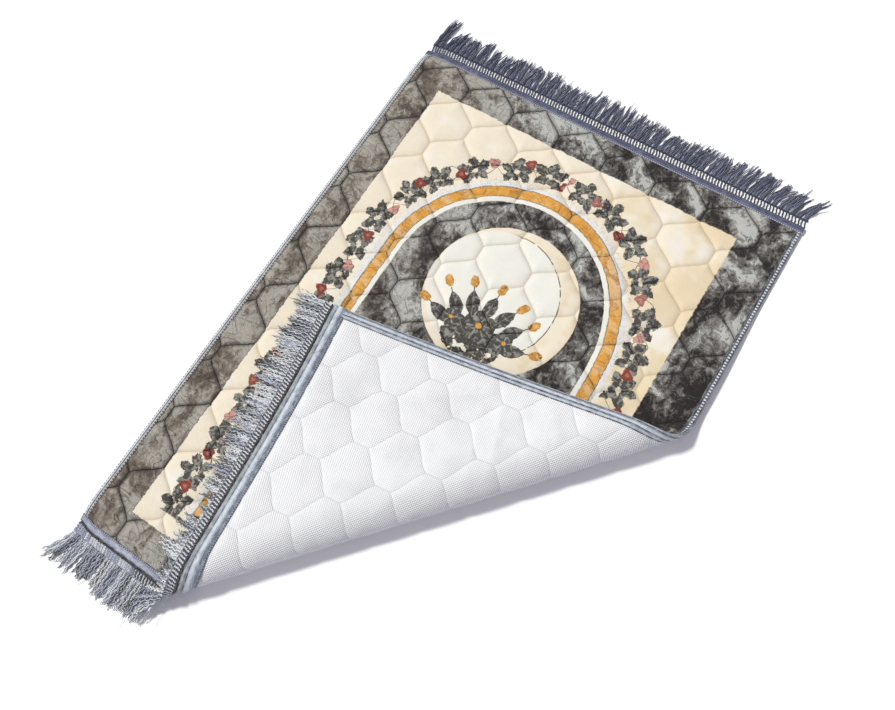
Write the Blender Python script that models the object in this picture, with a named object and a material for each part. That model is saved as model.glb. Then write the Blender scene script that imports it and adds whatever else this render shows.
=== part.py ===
"""A padded prayer rug, 0.80 m by 1.106 m without its fringes, lying on a floor with one
near corner folded over its face. Each piece is drawn flat, cut along the fold's bend
lines and then laid over the fold, so that all layers stay parallel.

Cloth coordinates run from the rug's near left corner: x across, y along, z up from the
underside of the flat rug, in metres. The part's origin is under the middle of the rug.
"""

import math

import bmesh
import bpy
from mathutils import Vector

# The rug as cut.
WIDTH = 0.800
LENGTH = 1.106
GAP = 0.0003
RIM_GAP = 0.0006

# Heights of the layers above the floor, at the stitched edge and in the quilting.
TAPE_THICK = 0.0010
BACK_TOP = 0.0025
EDGE_TOP = 0.0052
SEAM_TOP = 0.0060
CROWN_TOP = 0.0105
BACK_CHANNEL = 0.0012
BENDING_LEVEL = 0.0050

# Tapes folded round the edges: outer wall, width on the face and width on the back.
TAPE_WALL = 0.0012
SIDE_FACE = 0.0120
SIDE_BACK = 0.0190
END_FACE = 0.0140
END_BACK = 0.0280
EDGE_RAMP = 0.0100

# Quilting net of pointed six-sided cells.
NET_PITCH = 0.1022
NET_ROW = 0.0672
NET_UPRIGHT = 0.0280
NET_X = 0.1270
NET_Y = 1.0410
PAD_RING = (0.66, 0.80)
BACK_RING = (0.86, 1.00)

# The fold: a straight line from the near end to the right side, then a round bend that
# turns the corner over, then a slow settling down onto the face.
FOLD_FROM = Vector((0.159, 0.0))
FOLD_TO = Vector((WIDTH, 0.7405))
BEND_LENGTH = 0.130
SETTLE_LENGTH = 0.400
BEND_FACETS = 10
SETTLE_FACETS = 4
FLAP_CLEARANCE = 0.0020
FLAP_RISE = 2 * (CROWN_TOP - BENDING_LEVEL) + FLAP_CLEARANCE

# Trims: a header strip beyond each end tape, and its locks of cord.
HEADER_INSET = 0.0010
HEADER_WIDTH = 0.0180
HEADER_THICK = 0.0020
LOCKS = 67
LOCK_WIDTH = 0.0055
LOCK_LENGTH = 0.0460
LOCK_TAPER = ((0.5, 1.10, 0.95), (1.0, 0.75, 0.80))
CORNER_REACH = 0.045
CORNER_SPLAY = 0.0110

# Where the tips of the folded end's locks come to rest: (distance past the fold's start,
# height). They lie on the floor, shingle up on each other round the bend, and lie on
# the face beyond it.
TIP_REST = ((0.012, 0.0), (0.060, 0.020), (0.130, 0.036), (0.190, CROWN_TOP + GAP))

COLOURS = {
    "plush": ((0.22, 0.19, 0.17, 1.0), 0.85),
    "back_cloth": ((0.84, 0.84, 0.86, 1.0), 0.80),
    "binding": ((0.22, 0.26, 0.34, 1.0), 0.45),
    "cord": ((0.16, 0.19, 0.27, 1.0), 0.55),
}


def clamp(value, low=0.0, high=1.0):
    return min(max(value, low), high)


def smooth_step(value):
    value = clamp(value)
    return value * value * (3 - 2 * value)


def inverse_smooth_step(value):
    return 0.5 - math.sin(math.asin(1 - 2 * value) / 3)


class Fold:
    """The fold as flat facets between bend lines, with mitred offsets for each layer."""

    def __init__(self):
        self.along = (FOLD_TO - FOLD_FROM).normalized()
        self.across = Vector((self.along.y, -self.along.x))
        self.lines = self.bend_lines()
        self.over_turn = self.solve_over_turn()
        self.points = self.section(self.over_turn)
        self.mitres = self.mitre_vectors()

    def bend_lines(self):
        """Distances of the bend lines from the start of the fold."""
        bend = [BEND_LENGTH * inverse_smooth_step(k / BEND_FACETS) for k in range(BEND_FACETS + 1)]
        settle = [
            BEND_LENGTH + SETTLE_LENGTH * inverse_smooth_step(k / SETTLE_FACETS)
            for k in range(1, SETTLE_FACETS + 1)
        ]
        return bend + settle

    def heading(self, distance, over_turn):
        """Slope of the cloth, from 0 on the floor to pi on the finished flap."""
        turned = (math.pi + over_turn) * smooth_step(distance / BEND_LENGTH)
        return turned - over_turn * smooth_step((distance - BEND_LENGTH) / SETTLE_LENGTH)

    def section(self, over_turn, steps=40):
        """Points (run, rise) of the bending level at the bend lines."""
        points = [Vector((0.0, 0.0))]
        for start, end in zip(self.lines, self.lines[1:]):
            step = (end - start) / steps
            slopes = [self.heading(start + (k + 0.5) * step, over_turn) for k in range(steps)]
            run = step * sum(math.cos(slope) for slope in slopes)
            rise = step * sum(math.sin(slope) for slope in slopes)
            points.append(points[-1] + Vector((run, rise)))
        return points

    def solve_over_turn(self):
        """Turn past pi that brings the flap down to its clearance over the face."""
        low, high = 0.0, 0.6
        for _ in range(40):
            middle = (low + high) / 2
            if self.section(middle, 12)[-1].y > FLAP_RISE:
                low = middle
            else:
                high = middle
        return low

    def mitre_vectors(self):
        """Offset for one metre of height at each bend line, equal on both its sides."""
        slopes = [0.0]
        for start, end in zip(self.points, self.points[1:]):
            slopes.append(math.atan2(end.y - start.y, end.x - start.x) % (2 * math.pi))
        slopes.append(slopes[-1])
        mitres = []
        for before, after in zip(slopes, slopes[1:]):
            normal = (before + after) / 2
            length = 1 / math.cos((after - before) / 2)
            mitres.append(Vector((-math.sin(normal), math.cos(normal))) * length)
        return mitres

    def distance(self, point):
        """How far a cloth point lies past the start of the fold."""
        return (Vector((point[0], point[1])) - FOLD_FROM).dot(self.across)

    def section_point(self, distance, height):
        """(run, rise) of a point at this height from the bending level."""
        last = len(self.lines) - 2
        k = max(i for i in range(last + 1) if i == 0 or self.lines[i] <= distance)
        t = (distance - self.lines[k]) / (self.lines[k + 1] - self.lines[k])
        start = self.points[k] + self.mitres[k] * height
        end = self.points[k + 1] + self.mitres[k + 1] * height
        return start.lerp(end, t)

    def place(self, point):
        """The part's coordinates of a point given in cloth coordinates."""
        distance = self.distance(point)
        flat = Vector((point[0], point[1]))
        rise = point[2]
        if distance > 0:
            run, rise = self.section_point(distance, point[2] - BENDING_LEVEL)
            flat = flat + self.across * (run - distance)
            rise += BENDING_LEVEL
        return Vector((flat.x - WIDTH / 2, flat.y - LENGTH / 2, rise))

    def cut(self, mesh):
        """Cuts a flat mesh along every bend line."""
        for line in self.lines[:-1]:
            bmesh.ops.bisect_plane(
                mesh,
                geom=mesh.verts[:] + mesh.edges[:] + mesh.faces[:],
                dist=1e-5,
                plane_co=(*(FOLD_FROM + self.across * line), 0),
                plane_no=(*self.across, 0),
            )


FOLD = Fold()


def material(name):
    """The material of one kind of cloth."""
    made = bpy.data.materials.get(name)
    if made is None:
        made = bpy.data.materials.new(name)
        made.use_nodes = True
        shader = made.node_tree.nodes["Principled BSDF"]
        colour, roughness = COLOURS[name]
        shader.inputs["Base Color"].default_value = colour
        shader.inputs["Roughness"].default_value = roughness
        shader.inputs["Metallic"].default_value = 0.0
        made.diffuse_color = colour
    return made


def finish(mesh, name, cloth):
    """Turns a finished mesh into the object of its piece."""
    data = bpy.data.meshes.new(name)
    mesh.normal_update()
    mesh.to_mesh(data)
    mesh.free()
    data.materials.append(material(cloth))
    piece = bpy.data.objects.new(name, data)
    bpy.context.scene.collection.objects.link(piece)
    return piece


def lay(mesh):
    """Cuts a flat closed mesh at the bend lines and lays it over the fold."""
    FOLD.cut(mesh)
    bmesh.ops.triangulate(mesh, faces=mesh.faces[:])
    for vert in mesh.verts:
        vert.co = FOLD.place(vert.co)


# Quilted layers.


def cell_corners():
    """Corners of one quilting cell about its middle, anticlockwise."""
    side, low, tip = NET_PITCH / 2, NET_UPRIGHT / 2, NET_ROW - NET_UPRIGHT / 2
    return [(side, -low), (side, low), (0, tip), (-side, low), (-side, -low), (0, -tip)]


def cell_middles():
    """Middles of all the cells that reach onto the rug."""
    first = math.floor((NET_Y - LENGTH) / NET_ROW) - 1
    last = math.ceil(NET_Y / NET_ROW) + 1
    for row in range(first, last + 1):
        shift = NET_PITCH / 2 if row % 2 == 0 else 0.0
        for column in range(-3, 9):
            yield NET_X + shift + column * NET_PITCH, NET_Y - row * NET_ROW


def hand_guided(x, y):
    """The slight drift of the stitching from a perfect net."""
    drift_x = 0.0022 * math.sin(11 * x + 17 * y)
    drift_y = 0.0016 * math.sin(19 * x - 8 * y + 1.0)
    return x + drift_x, y + drift_y


def add_cell(mesh, middle, ring, domed):
    """One cell: stitched rim, raised ring, and a dome or a level patch inside it."""
    scale, puff = ring
    cx, cy = middle

    def vert(x, y, height):
        return mesh.verts.new((*hand_guided(cx + x, cy + y), height))

    rim = [vert(x, y, 0.0) for x, y in cell_corners()]
    inner = [vert(x * scale, y * scale, puff) for x, y in cell_corners()]
    top = vert(0, 0, 1.0) if domed else None
    for k in range(6):
        n = (k + 1) % 6
        mesh.faces.new((rim[k], rim[n], inner[n], inner[k]))
        if domed:
            mesh.faces.new((inner[k], inner[n], top))
    if not domed:
        mesh.faces.new(inner)


def slice_at(mesh, axis, place, discard=0):
    """Cuts a mesh across an axis, and throws away one side: -1 below, 1 above."""
    normal = [0, 0, 0]
    normal[axis] = discard or 1
    point = [0, 0, 0]
    point[axis] = place
    bmesh.ops.bisect_plane(
        mesh,
        geom=mesh.verts[:] + mesh.edges[:] + mesh.faces[:],
        dist=1e-5,
        plane_co=point,
        plane_no=normal,
        clear_outer=bool(discard),
    )


def edge_ramp(x, y, side, end):
    """0 under the tapes, rising to 1 in the quilting."""
    nearest_side = min(x, WIDTH - x) - side - GAP
    nearest_end = min(y, LENGTH - y) - end - GAP
    return clamp(min(nearest_side, nearest_end) / EDGE_RAMP)


def quilted_sheet(ring, domed, side, end):
    """A net of cells cut to the rug's outline, with each point's puff as its height."""
    mesh = bmesh.new()
    for middle in cell_middles():
        add_cell(mesh, middle, ring, domed)
    bmesh.ops.remove_doubles(mesh, verts=mesh.verts[:], dist=1e-5)
    inset = TAPE_WALL + RIM_GAP
    for axis, size, tape in ((0, WIDTH, side), (1, LENGTH, end)):
        slice_at(mesh, axis, inset, -1)
        slice_at(mesh, axis, size - inset, 1)
        for ramp in (0, EDGE_RAMP):
            slice_at(mesh, axis, tape + GAP + ramp)
            slice_at(mesh, axis, size - tape - GAP - ramp)
    return mesh


def close_slab(mesh, level):
    """Gives an open sheet straight sides down or up to a flat face at this height."""
    rim = [edge for edge in mesh.edges if edge.is_boundary]
    made = bmesh.ops.extrude_edge_only(mesh, edges=rim)["geom"]
    for vert in made:
        if isinstance(vert, bmesh.types.BMVert):
            vert.co.z = level
    bmesh.ops.holes_fill(mesh, edges=[e for e in mesh.edges if e.is_boundary], sides=0)
    bmesh.ops.recalc_face_normals(mesh, faces=mesh.faces[:])


def make_pad():
    """Plush face and wadding in one, raised between the quilting seams."""
    mesh = quilted_sheet(PAD_RING, True, SIDE_FACE, END_FACE)
    for vert in mesh.verts:
        x, y, puff = vert.co
        quilted = SEAM_TOP + puff * (CROWN_TOP - SEAM_TOP)
        vert.co.z = EDGE_TOP + (quilted - EDGE_TOP) * edge_ramp(x, y, SIDE_FACE, END_FACE)
    close_slab(mesh, BACK_TOP + GAP)
    lay(mesh)
    finish(mesh, "pad", "plush")


def make_backing():
    """White cloth under the wadding, drawn in along the same seams."""
    mesh = quilted_sheet(BACK_RING, False, SIDE_BACK, END_BACK)
    edge_level = TAPE_THICK + GAP
    for vert in mesh.verts:
        x, y, puff = vert.co
        drawn_in = BACK_CHANNEL * (1 - puff)
        vert.co.z = edge_level + (drawn_in - edge_level) * edge_ramp(x, y, SIDE_BACK, END_BACK)
    close_slab(mesh, BACK_TOP)
    lay(mesh)
    finish(mesh, "backing", "back_cloth")


# Tapes folded round the edges.


def block_solid(levels, filled):
    """A closed mesh of the filled cells of a grid, given its levels on each axis."""
    mesh = bmesh.new()
    verts = {}

    def vert(i, j, k):
        if (i, j, k) not in verts:
            verts[i, j, k] = mesh.verts.new((levels[0][i], levels[1][j], levels[2][k]))
        return verts[i, j, k]

    spans = [range(len(level) - 1) for level in levels]
    cells = {(i, j, k) for i in spans[0] for j in spans[1] for k in spans[2] if filled(i, j, k)}
    sides = (
        ((-1, 0, 0), ((0, 0, 0), (0, 0, 1), (0, 1, 1), (0, 1, 0))),
        ((1, 0, 0), ((1, 0, 0), (1, 1, 0), (1, 1, 1), (1, 0, 1))),
        ((0, -1, 0), ((0, 0, 0), (1, 0, 0), (1, 0, 1), (0, 0, 1))),
        ((0, 1, 0), ((0, 1, 0), (0, 1, 1), (1, 1, 1), (1, 1, 0))),
        ((0, 0, -1), ((0, 0, 0), (0, 1, 0), (1, 1, 0), (1, 0, 0))),
        ((0, 0, 1), ((0, 0, 1), (1, 0, 1), (1, 1, 1), (0, 1, 1))),
    )
    for i, j, k in sorted(cells):
        for (di, dj, dk), corners in sides:
            if (i + di, j + dj, k + dk) not in cells:
                mesh.faces.new([vert(i + a, j + b, k + c) for a, b, c in corners])
    return mesh


def tape_levels():
    """Heights of a folded tape: lower leaf, the cloth's edge, upper leaf."""
    upper = EDGE_TOP + GAP
    return [0.0, TAPE_THICK, upper, upper + TAPE_THICK]


def mirror_flat(mesh, axis, size):
    """Turns a piece made at one edge of the rug into the one at the opposite edge."""
    for vert in mesh.verts:
        vert.co[axis] = size - vert.co[axis]
    bmesh.ops.reverse_faces(mesh, faces=mesh.faces[:])


def make_end_tape(name, far):
    """Tape across one end, wide on the back and narrow on the face."""
    levels = ([0.0, WIDTH], [0.0, TAPE_WALL, END_FACE, END_BACK], tape_levels())

    def filled(_, j, k):
        lower_leaf = k == 0
        upper_leaf = k == 2 and j < 2
        return j == 0 or lower_leaf or upper_leaf

    mesh = block_solid(levels, filled)
    if far:
        mirror_flat(mesh, 1, LENGTH)
    lay(mesh)
    finish(mesh, name, "binding")


def make_side_binding(name, right):
    """Binding along one side, butted between the end tapes on face and back."""
    face_butt, back_butt = END_FACE + GAP, END_BACK + GAP
    levels = (
        [0.0, TAPE_WALL, SIDE_FACE, SIDE_BACK],
        [face_butt, back_butt, LENGTH - back_butt, LENGTH - face_butt],
        tape_levels(),
    )

    def filled(i, j, k):
        if k == 0:
            return j == 1
        return i == 0 or (k == 2 and i == 1)

    mesh = block_solid(levels, filled)
    if right:
        mirror_flat(mesh, 0, WIDTH)
    lay(mesh)
    finish(mesh, name, "binding")


# Fringes.


def lock_lean(x):
    """Sideways lean of a lock's tip, uneven along the end and splayed at the corners."""
    uneven = 0.0026 * math.sin(83 * x) + 0.0018 * math.sin(197 * x + 0.7)
    left = clamp(1 - x / CORNER_REACH)
    right = clamp(1 - (WIDTH - x) / CORNER_REACH)
    return uneven + CORNER_SPLAY * (right**2 - left**2)


def lock_middles(edge):
    """Places of the locks along a header, each clear of the bend lines."""
    pitch = (WIDTH - 2 * HEADER_INSET) / LOCKS
    room = LOCK_WIDTH / 2 + GAP
    kinks = []
    if edge < LENGTH / 2:
        for line in FOLD.lines[:-1]:
            start = FOLD_FROM + FOLD.across * line
            kinks.append(start.x + (edge - start.y) * FOLD.along.x / FOLD.along.y)
    middles = []
    for k in range(LOCKS):
        x = HEADER_INSET + pitch * (k + 0.5)
        for kink in kinks:
            if abs(x - kink) < room:
                x = kink + math.copysign(room, x - kink)
        middles.append(x)
    return middles


def make_header(outer, inner, middles):
    """The header strip, flat, with a wall face left for the root of every lock."""
    breaks = [HEADER_INSET, WIDTH - HEADER_INSET]
    breaks += [x + side * LOCK_WIDTH / 2 for x in middles for side in (-1, 1)]
    mesh = bmesh.new()
    rim = [mesh.verts.new((x, outer, 0.0)) for x in sorted(breaks)]
    rim += [mesh.verts.new((x, inner, 0.0)) for x in (WIDTH - HEADER_INSET, HEADER_INSET)]
    base = mesh.faces.new(rim)
    made = bmesh.ops.extrude_face_region(mesh, geom=[base], use_keep_orig=True)["geom"]
    for vert in made:
        if isinstance(vert, bmesh.types.BMVert):
            vert.co.z = HEADER_THICK
    bmesh.ops.recalc_face_normals(mesh, faces=mesh.faces[:])
    return mesh


def root_faces(mesh, outer, middles):
    """The wall faces that the locks grow from, with the place of each lock."""
    roots = []
    for face in mesh.faces:
        middle = face.calc_center_median()
        on_wall = all(abs(vert.co.y - outer) < 1e-5 for vert in face.verts)
        nearest = min(middles, key=lambda x: abs(x - middle.x))
        if on_wall and abs(nearest - middle.x) < GAP:
            roots.append((face, nearest))
    return roots


def tip_rest(distance):
    """Height of a tip whose root lies this far past the start of the fold."""
    if distance <= TIP_REST[0][0]:
        return TIP_REST[0][1]
    for (start, low), (end, high) in zip(TIP_REST, TIP_REST[1:]):
        if distance < end:
            return low + (high - low) * (distance - start) / (end - start)
    return TIP_REST[-1][1]


class Lock:
    """One lock of cords: a tapering four-sided run from its root down to what it lies on."""

    def __init__(self, root, forward, lean, rest):
        self.root = root
        self.flat = Vector((forward.x, forward.y, 0)).normalized()
        self.side = self.flat.cross(Vector((0, 0, 1)))
        self.lean = lean
        self.drop = clamp(root.z - rest - HEADER_THICK / 2, 0, 0.9 * LOCK_LENGTH)
        self.reach = math.sqrt(LOCK_LENGTH**2 - self.drop**2)

    def ring(self, share, width, thick):
        """Four corners of the lock's section at this share of its length."""
        half_width, thickness = width * LOCK_WIDTH / 2, thick * HEADER_THICK
        low = self.root.z - HEADER_THICK / 2 - self.drop * smooth_step(share)
        middle = self.root + self.flat * self.reach * share + self.side * self.lean * share**2
        corners = ((-1, 0), (-1, 1), (1, 1), (1, 0))
        return [
            Vector((middle.x, middle.y, low + level * thickness)) + self.side * across * half_width
            for across, level in corners
        ]


def nearest_turn(face, ring):
    """The ring's corners, started so that they twist least from the face's corners."""
    centre = face.calc_center_median()
    target = sum(ring, Vector()) / 4
    orders = [ring[k:] + ring[:k] for k in range(4)]
    return min(
        orders,
        key=lambda order: sum(
            ((vert.co - centre) - (corner - target)).length_squared
            for vert, corner in zip(face.verts, order)
        ),
    )


def grow_lock(mesh, face, lock):
    """Extrudes a root face along its lock, section by section."""
    for share, width, thick in LOCK_TAPER:
        face = bmesh.ops.extrude_discrete_faces(mesh, faces=[face])["faces"][0]
        ring = nearest_turn(face, lock.ring(share, width, thick))
        for vert, corner in zip(face.verts, ring):
            vert.co = corner
    return face


def make_fringe(name, far):
    """The trim sewn beyond one end tape: header strip and locks in one solid."""
    inner = LENGTH + GAP if far else -GAP
    outer = inner + (HEADER_WIDTH if far else -HEADER_WIDTH)
    outward = Vector((0, 1, 0)) if far else Vector((0, -1, 0))
    middles = lock_middles(outer)
    mesh = make_header(outer, inner, middles)
    FOLD.cut(mesh)
    locks = []
    for face, x in root_faces(mesh, outer, middles):
        root = Vector((x, outer, HEADER_THICK / 2))
        forward = FOLD.place(root) - FOLD.place(root - outward * GAP)
        rest = tip_rest(FOLD.distance(root))
        sideways = lock_lean(x) * outward.y
        locks.append((face, Lock(FOLD.place(root), forward, sideways, rest)))
    for vert in mesh.verts:
        vert.co = FOLD.place(vert.co)
    for face, lock in locks:
        grow_lock(mesh, face, lock)
    bmesh.ops.triangulate(mesh, faces=mesh.faces[:])
    bmesh.ops.recalc_face_normals(mesh, faces=mesh.faces[:])
    finish(mesh, name, "cord")


def clear_scene():
    """Removes what the scene holds at the start."""
    for item in list(bpy.context.scene.objects):
        bpy.data.objects.remove(item, do_unlink=True)


def main():
    clear_scene()
    make_pad()
    make_backing()
    make_side_binding("binding_left", right=False)
    make_side_binding("binding_right", right=True)
    make_end_tape("end_tape_near", far=False)
    make_end_tape("end_tape_far", far=True)
    make_fringe("fringe_near", far=False)
    make_fringe("fringe_far", far=True)


main()
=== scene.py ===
"""Looks of a padded prayer rug that lies on a floor with one near corner folded over.

Cloth coordinates run from the rug's near left corner: x across, y along, z up from the
underside of the flat rug, in metres. Every piece is modelled flat in them and laid over
the fold; the quilted layers and the tapes keep them in their attribute "cloth", which the
plush and backing materials read.
"""

import logging
import math
from dataclasses import dataclass
from enum import Enum
from functools import cached_property
from typing import Optional, Sequence, Union

import bpy
import numpy as np
from mathutils import Matrix, Vector


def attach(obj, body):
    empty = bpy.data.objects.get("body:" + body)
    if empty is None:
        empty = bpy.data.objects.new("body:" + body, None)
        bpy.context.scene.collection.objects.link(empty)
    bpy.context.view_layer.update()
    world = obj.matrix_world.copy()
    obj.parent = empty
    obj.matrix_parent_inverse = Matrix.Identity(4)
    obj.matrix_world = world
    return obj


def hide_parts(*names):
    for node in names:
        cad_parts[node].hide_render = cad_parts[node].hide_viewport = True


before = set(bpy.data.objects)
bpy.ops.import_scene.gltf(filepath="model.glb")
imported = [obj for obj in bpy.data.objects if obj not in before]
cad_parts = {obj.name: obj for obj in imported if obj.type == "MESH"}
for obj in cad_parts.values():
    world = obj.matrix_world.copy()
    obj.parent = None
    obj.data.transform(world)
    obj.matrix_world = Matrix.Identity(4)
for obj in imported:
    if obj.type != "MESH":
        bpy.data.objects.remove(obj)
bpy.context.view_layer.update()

LOG = logging.getLogger("prayer_rug")
MERGE = 0.00002
FULL_TURN = 2 * math.pi
WHITE_SHARE = 0.80  # share of the studio's light that a piece seen as white sends back

Colour = tuple[int, int, int]
Pair = tuple[float, float]
Triple = tuple[float, float, float]
Array = np.ndarray
Socket = bpy.types.NodeSocket
Piece = bpy.types.Object


class Edge(Enum):
    """The four edges of the rug."""

    LEFT = "left"
    RIGHT = "right"
    NEAR = "near"
    FAR = "far"


# Sizes and the fold.


@dataclass(frozen=True)
class RugSize:
    """The rug as cut, and the heights of its layers above the floor."""

    width: float = 0.800
    length: float = 1.106
    tape_thick: float = 0.0010
    back_top: float = 0.0025
    edge_top: float = 0.0052
    seam_top: float = 0.0060
    crown_top: float = 0.0105
    side_face: float = 0.0120
    side_back: float = 0.0190
    end_face: float = 0.0140
    end_back: float = 0.0280
    tape_wall: float = 0.0012
    gap: float = 0.0003

    @property
    def inset(self) -> float:
        """How far the cloth layers stay inside the rug's outline, under the tapes."""
        return self.tape_wall + 2 * self.gap

    @property
    def middle(self) -> Array:
        """The rug's middle in cloth coordinates."""
        return np.array((self.width / 2, self.length / 2))


SIZE = RugSize()


def smooth_step(value: Array) -> Array:
    """Returns 0 below 0, 1 above 1 and a smooth rise between them."""
    value = np.clip(value, 0.0, 1.0)
    return value * value * (3 - 2 * value)


def from_edge(edge: Edge, along: Array, inwards: Array) -> Array:
    """Turns distances from an edge of the rug into cloth points.

    Args:
        edge: The edge.
        along: Distances along it.
        inwards: Distances inwards from it, below 0 outside the rug.

    Returns:
        Rows of cloth x and y.
    """
    if edge is Edge.LEFT:
        return np.column_stack((inwards, along))
    if edge is Edge.RIGHT:
        return np.column_stack((SIZE.width - inwards, along))
    if edge is Edge.NEAR:
        return np.column_stack((along, inwards))
    return np.column_stack((along, SIZE.length - inwards))


@dataclass(frozen=True)
class Fold:
    """The fold: a straight line, a round bend past it, and a flap that settles down."""

    start: Pair = (0.159, 0.0)
    end: Pair = (0.800, 0.7405)
    bend: float = 0.130
    settle: float = 0.400
    level: float = 0.0050
    rise: float = 0.0130
    reach: float = 0.620
    steps: int = 1240
    most_turn: float = 0.6
    halvings: int = 40
    leaves_floor: float = 0.5  # share of the bend by which the cloth has left the floor
    tight_rise: Pair = (0.2, 0.3)  # start and width of a rise, in shares of the bend
    tight_fall: Pair = (1.10, 0.5)
    ripple: float = 0.0011
    ripple_rise: float = 0.12
    ripple_waves: tuple[Pair, Pair] = ((11.0, 6.0), (-4.0, 15.0))
    edge_lift: float = 0.0100
    edge_rise: Pair = (0.66, 0.14)
    edge_before: float = 0.14
    edge_past: float = 0.10
    corner_pull: float = 0.0090
    corner_reach: float = 0.0240

    @cached_property
    def across(self) -> Array:
        """The level direction across the fold, towards the folded corner."""
        along = (Vector(self.end) - Vector(self.start)).normalized()
        return np.array((along.y, -along.x))

    @cached_property
    def table(self) -> Array:
        """The section whose flap ends at the fold's rise, found by halving."""
        low, high = 0.0, self.most_turn
        for _ in range(self.halvings):
            middle = (low + high) / 2
            if self.section(middle)[2][-1] > self.rise:
                low = middle
            else:
                high = middle
        return self.section(low)

    def section(self, over_turn: float) -> Array:
        """The bending level's section.

        Args:
            over_turn: Turn past half a turn at the end of the bend, in radians.

        Returns:
            Rows of distance, run, rise and slope, at even steps of distance.
        """
        distance = np.linspace(0.0, self.reach, self.steps + 1)
        slope = (math.pi + over_turn) * smooth_step(distance / self.bend)
        slope = slope - over_turn * smooth_step((distance - self.bend) / self.settle)
        step = self.reach / self.steps
        middle = (slope[1:] + slope[:-1]) / 2
        run = np.concatenate(([0.0], np.cumsum(np.cos(middle)) * step))
        rise = np.concatenate(([0.0], np.cumsum(np.sin(middle)) * step))
        return np.array((distance, run, rise, slope))

    def distance(self, flat: Array) -> Array:
        """How far cloth points (n, 2) lie past the start of the fold."""
        return (flat - np.array(self.start)) @ self.across

    def lifted(self, flat: Array) -> Array:
        """0 where the cloth lies on the floor, rising to 1 where it has left it."""
        return smooth_step(self.distance(flat) / (self.leaves_floor * self.bend))

    def tight(self, flat: Array) -> Array:
        """1 in the middle of the bend, falling to 0 where the cloth is flat again."""
        past = self.distance(flat) / self.bend
        rise = smooth_step((past - self.tight_rise[0]) / self.tight_rise[1])
        return rise * smooth_step((self.tight_fall[0] - past) / self.tight_fall[1])

    def draw_in(self, flat: Array) -> Array:
        """Rounds the rug's left corners, which their seams draw in.

        Args:
            flat: Rows of cloth x and y.

        Returns:
            The same rows, moved near those corners.
        """
        drawn = flat.copy()
        for corner in ((0.0, 0.0), (0.0, SIZE.length)):
            inwards = np.sign(SIZE.middle - np.array(corner)) * math.sqrt(0.5)
            away = np.hypot(*(flat - np.array(corner)).T) / self.corner_reach
            drawn += self.corner_pull * np.exp(-(away**2))[:, None] * inwards
        return drawn

    def edge_height(self, flat: Array, past: Array) -> Array:
        """How far the right edge is lifted beside the fold.

        Args:
            flat: Rows of cloth x and y.
            past: Their distances past the start of the fold.

        Returns:
            One height for each row.
        """
        beside = smooth_step((flat[:, 0] - self.edge_rise[0]) / self.edge_rise[1])
        before = smooth_step(past / self.edge_before + 1)
        return self.edge_lift * beside * before * (1 - smooth_step(past / self.edge_past))

    def place(self, points: Array) -> Array:
        """Lays cloth points over the fold.

        Args:
            points: Rows of cloth coordinates x, y, z.

        Returns:
            The same points in the part's own coordinates.
        """
        flat = self.draw_in(points[:, :2])
        past = self.distance(flat)
        height = points[:, 2] - self.level
        run, rise, slope = (np.interp(past, self.table[0], row) for row in self.table[1:])
        settled = smooth_step((past - self.bend) / self.ripple_rise)
        first, second = (np.sin(flat @ np.array(wave)) for wave in self.ripple_waves)
        rise = rise + self.ripple * settled * first * second
        folded = past > 0
        run = np.where(folded, run - np.sin(slope) * height - past, 0.0)
        up = np.where(folded, self.level + rise + np.cos(slope) * height, points[:, 2])
        up += self.edge_height(flat, past)
        placed = flat + self.across * run[:, None]
        return np.column_stack((placed - SIZE.middle, up))


FOLD = Fold()


# Modelling by hand, in edit mode.


def pick(piece: Piece) -> None:
    """Selects one piece alone and makes it the active one."""
    bpy.ops.object.select_all(action="DESELECT")
    bpy.context.view_layer.objects.active = piece
    piece.select_set(True)


def edit(piece: Piece) -> None:
    """Opens a piece in edit mode with everything on it selected."""
    pick(piece)
    bpy.ops.object.mode_set(mode="EDIT")
    bpy.ops.mesh.select_mode(type="VERT")
    bpy.ops.mesh.select_all(action="SELECT")


def leave_edit() -> None:
    """Goes back to object mode."""
    bpy.ops.object.mode_set(mode="OBJECT")


def extrude_up(height: float) -> None:
    """Extrudes what is selected straight up, or down below 0."""
    bpy.ops.mesh.extrude_region_move(TRANSFORM_OT_translate={"value": (0, 0, height)})


def face_outwards() -> None:
    """Turns every face of the piece that is being edited outwards."""
    bpy.ops.mesh.select_all(action="SELECT")
    bpy.ops.mesh.normals_make_consistent(inside=False)


def link(piece: Piece) -> Piece:
    """Puts a new object in the scene."""
    bpy.context.scene.collection.objects.link(piece)
    return piece


def apply_modifiers(piece: Piece) -> None:
    """Applies each of a piece's modifiers in turn."""
    pick(piece)
    for modifier in list(piece.modifiers):
        bpy.ops.object.modifier_apply(modifier=modifier.name)


def apply_place(piece: Piece) -> None:
    """Puts a piece's place into its mesh, with its object at the origin."""
    pick(piece)
    bpy.ops.object.transform_apply(location=True, rotation=True, scale=True)


def smooth_faces(piece: Piece, angle: float) -> None:
    """Shades a piece smooth, but for edges sharper than the angle, in degrees."""
    pick(piece)
    bpy.ops.object.shade_smooth_by_angle(angle=math.radians(angle))


def join(first: Piece, second: Piece) -> Piece:
    """Joins the second piece into the first.

    Args:
        first: The piece that stays.
        second: The piece that is joined to it.

    Returns:
        The first piece.
    """
    pick(first)
    second.select_set(True)
    bpy.ops.object.join()
    return first


def read_points(piece: Piece) -> Array:
    """The vertices of a piece as rows of coordinates."""
    flat = np.empty(len(piece.data.vertices) * 3)
    piece.data.vertices.foreach_get("co", flat)
    return flat.reshape(-1, 3)


def write_points(piece: Piece, points: Array) -> None:
    """Moves the vertices of a piece."""
    piece.data.vertices.foreach_set("co", points.astype(np.float32).ravel())
    piece.data.update()


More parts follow.
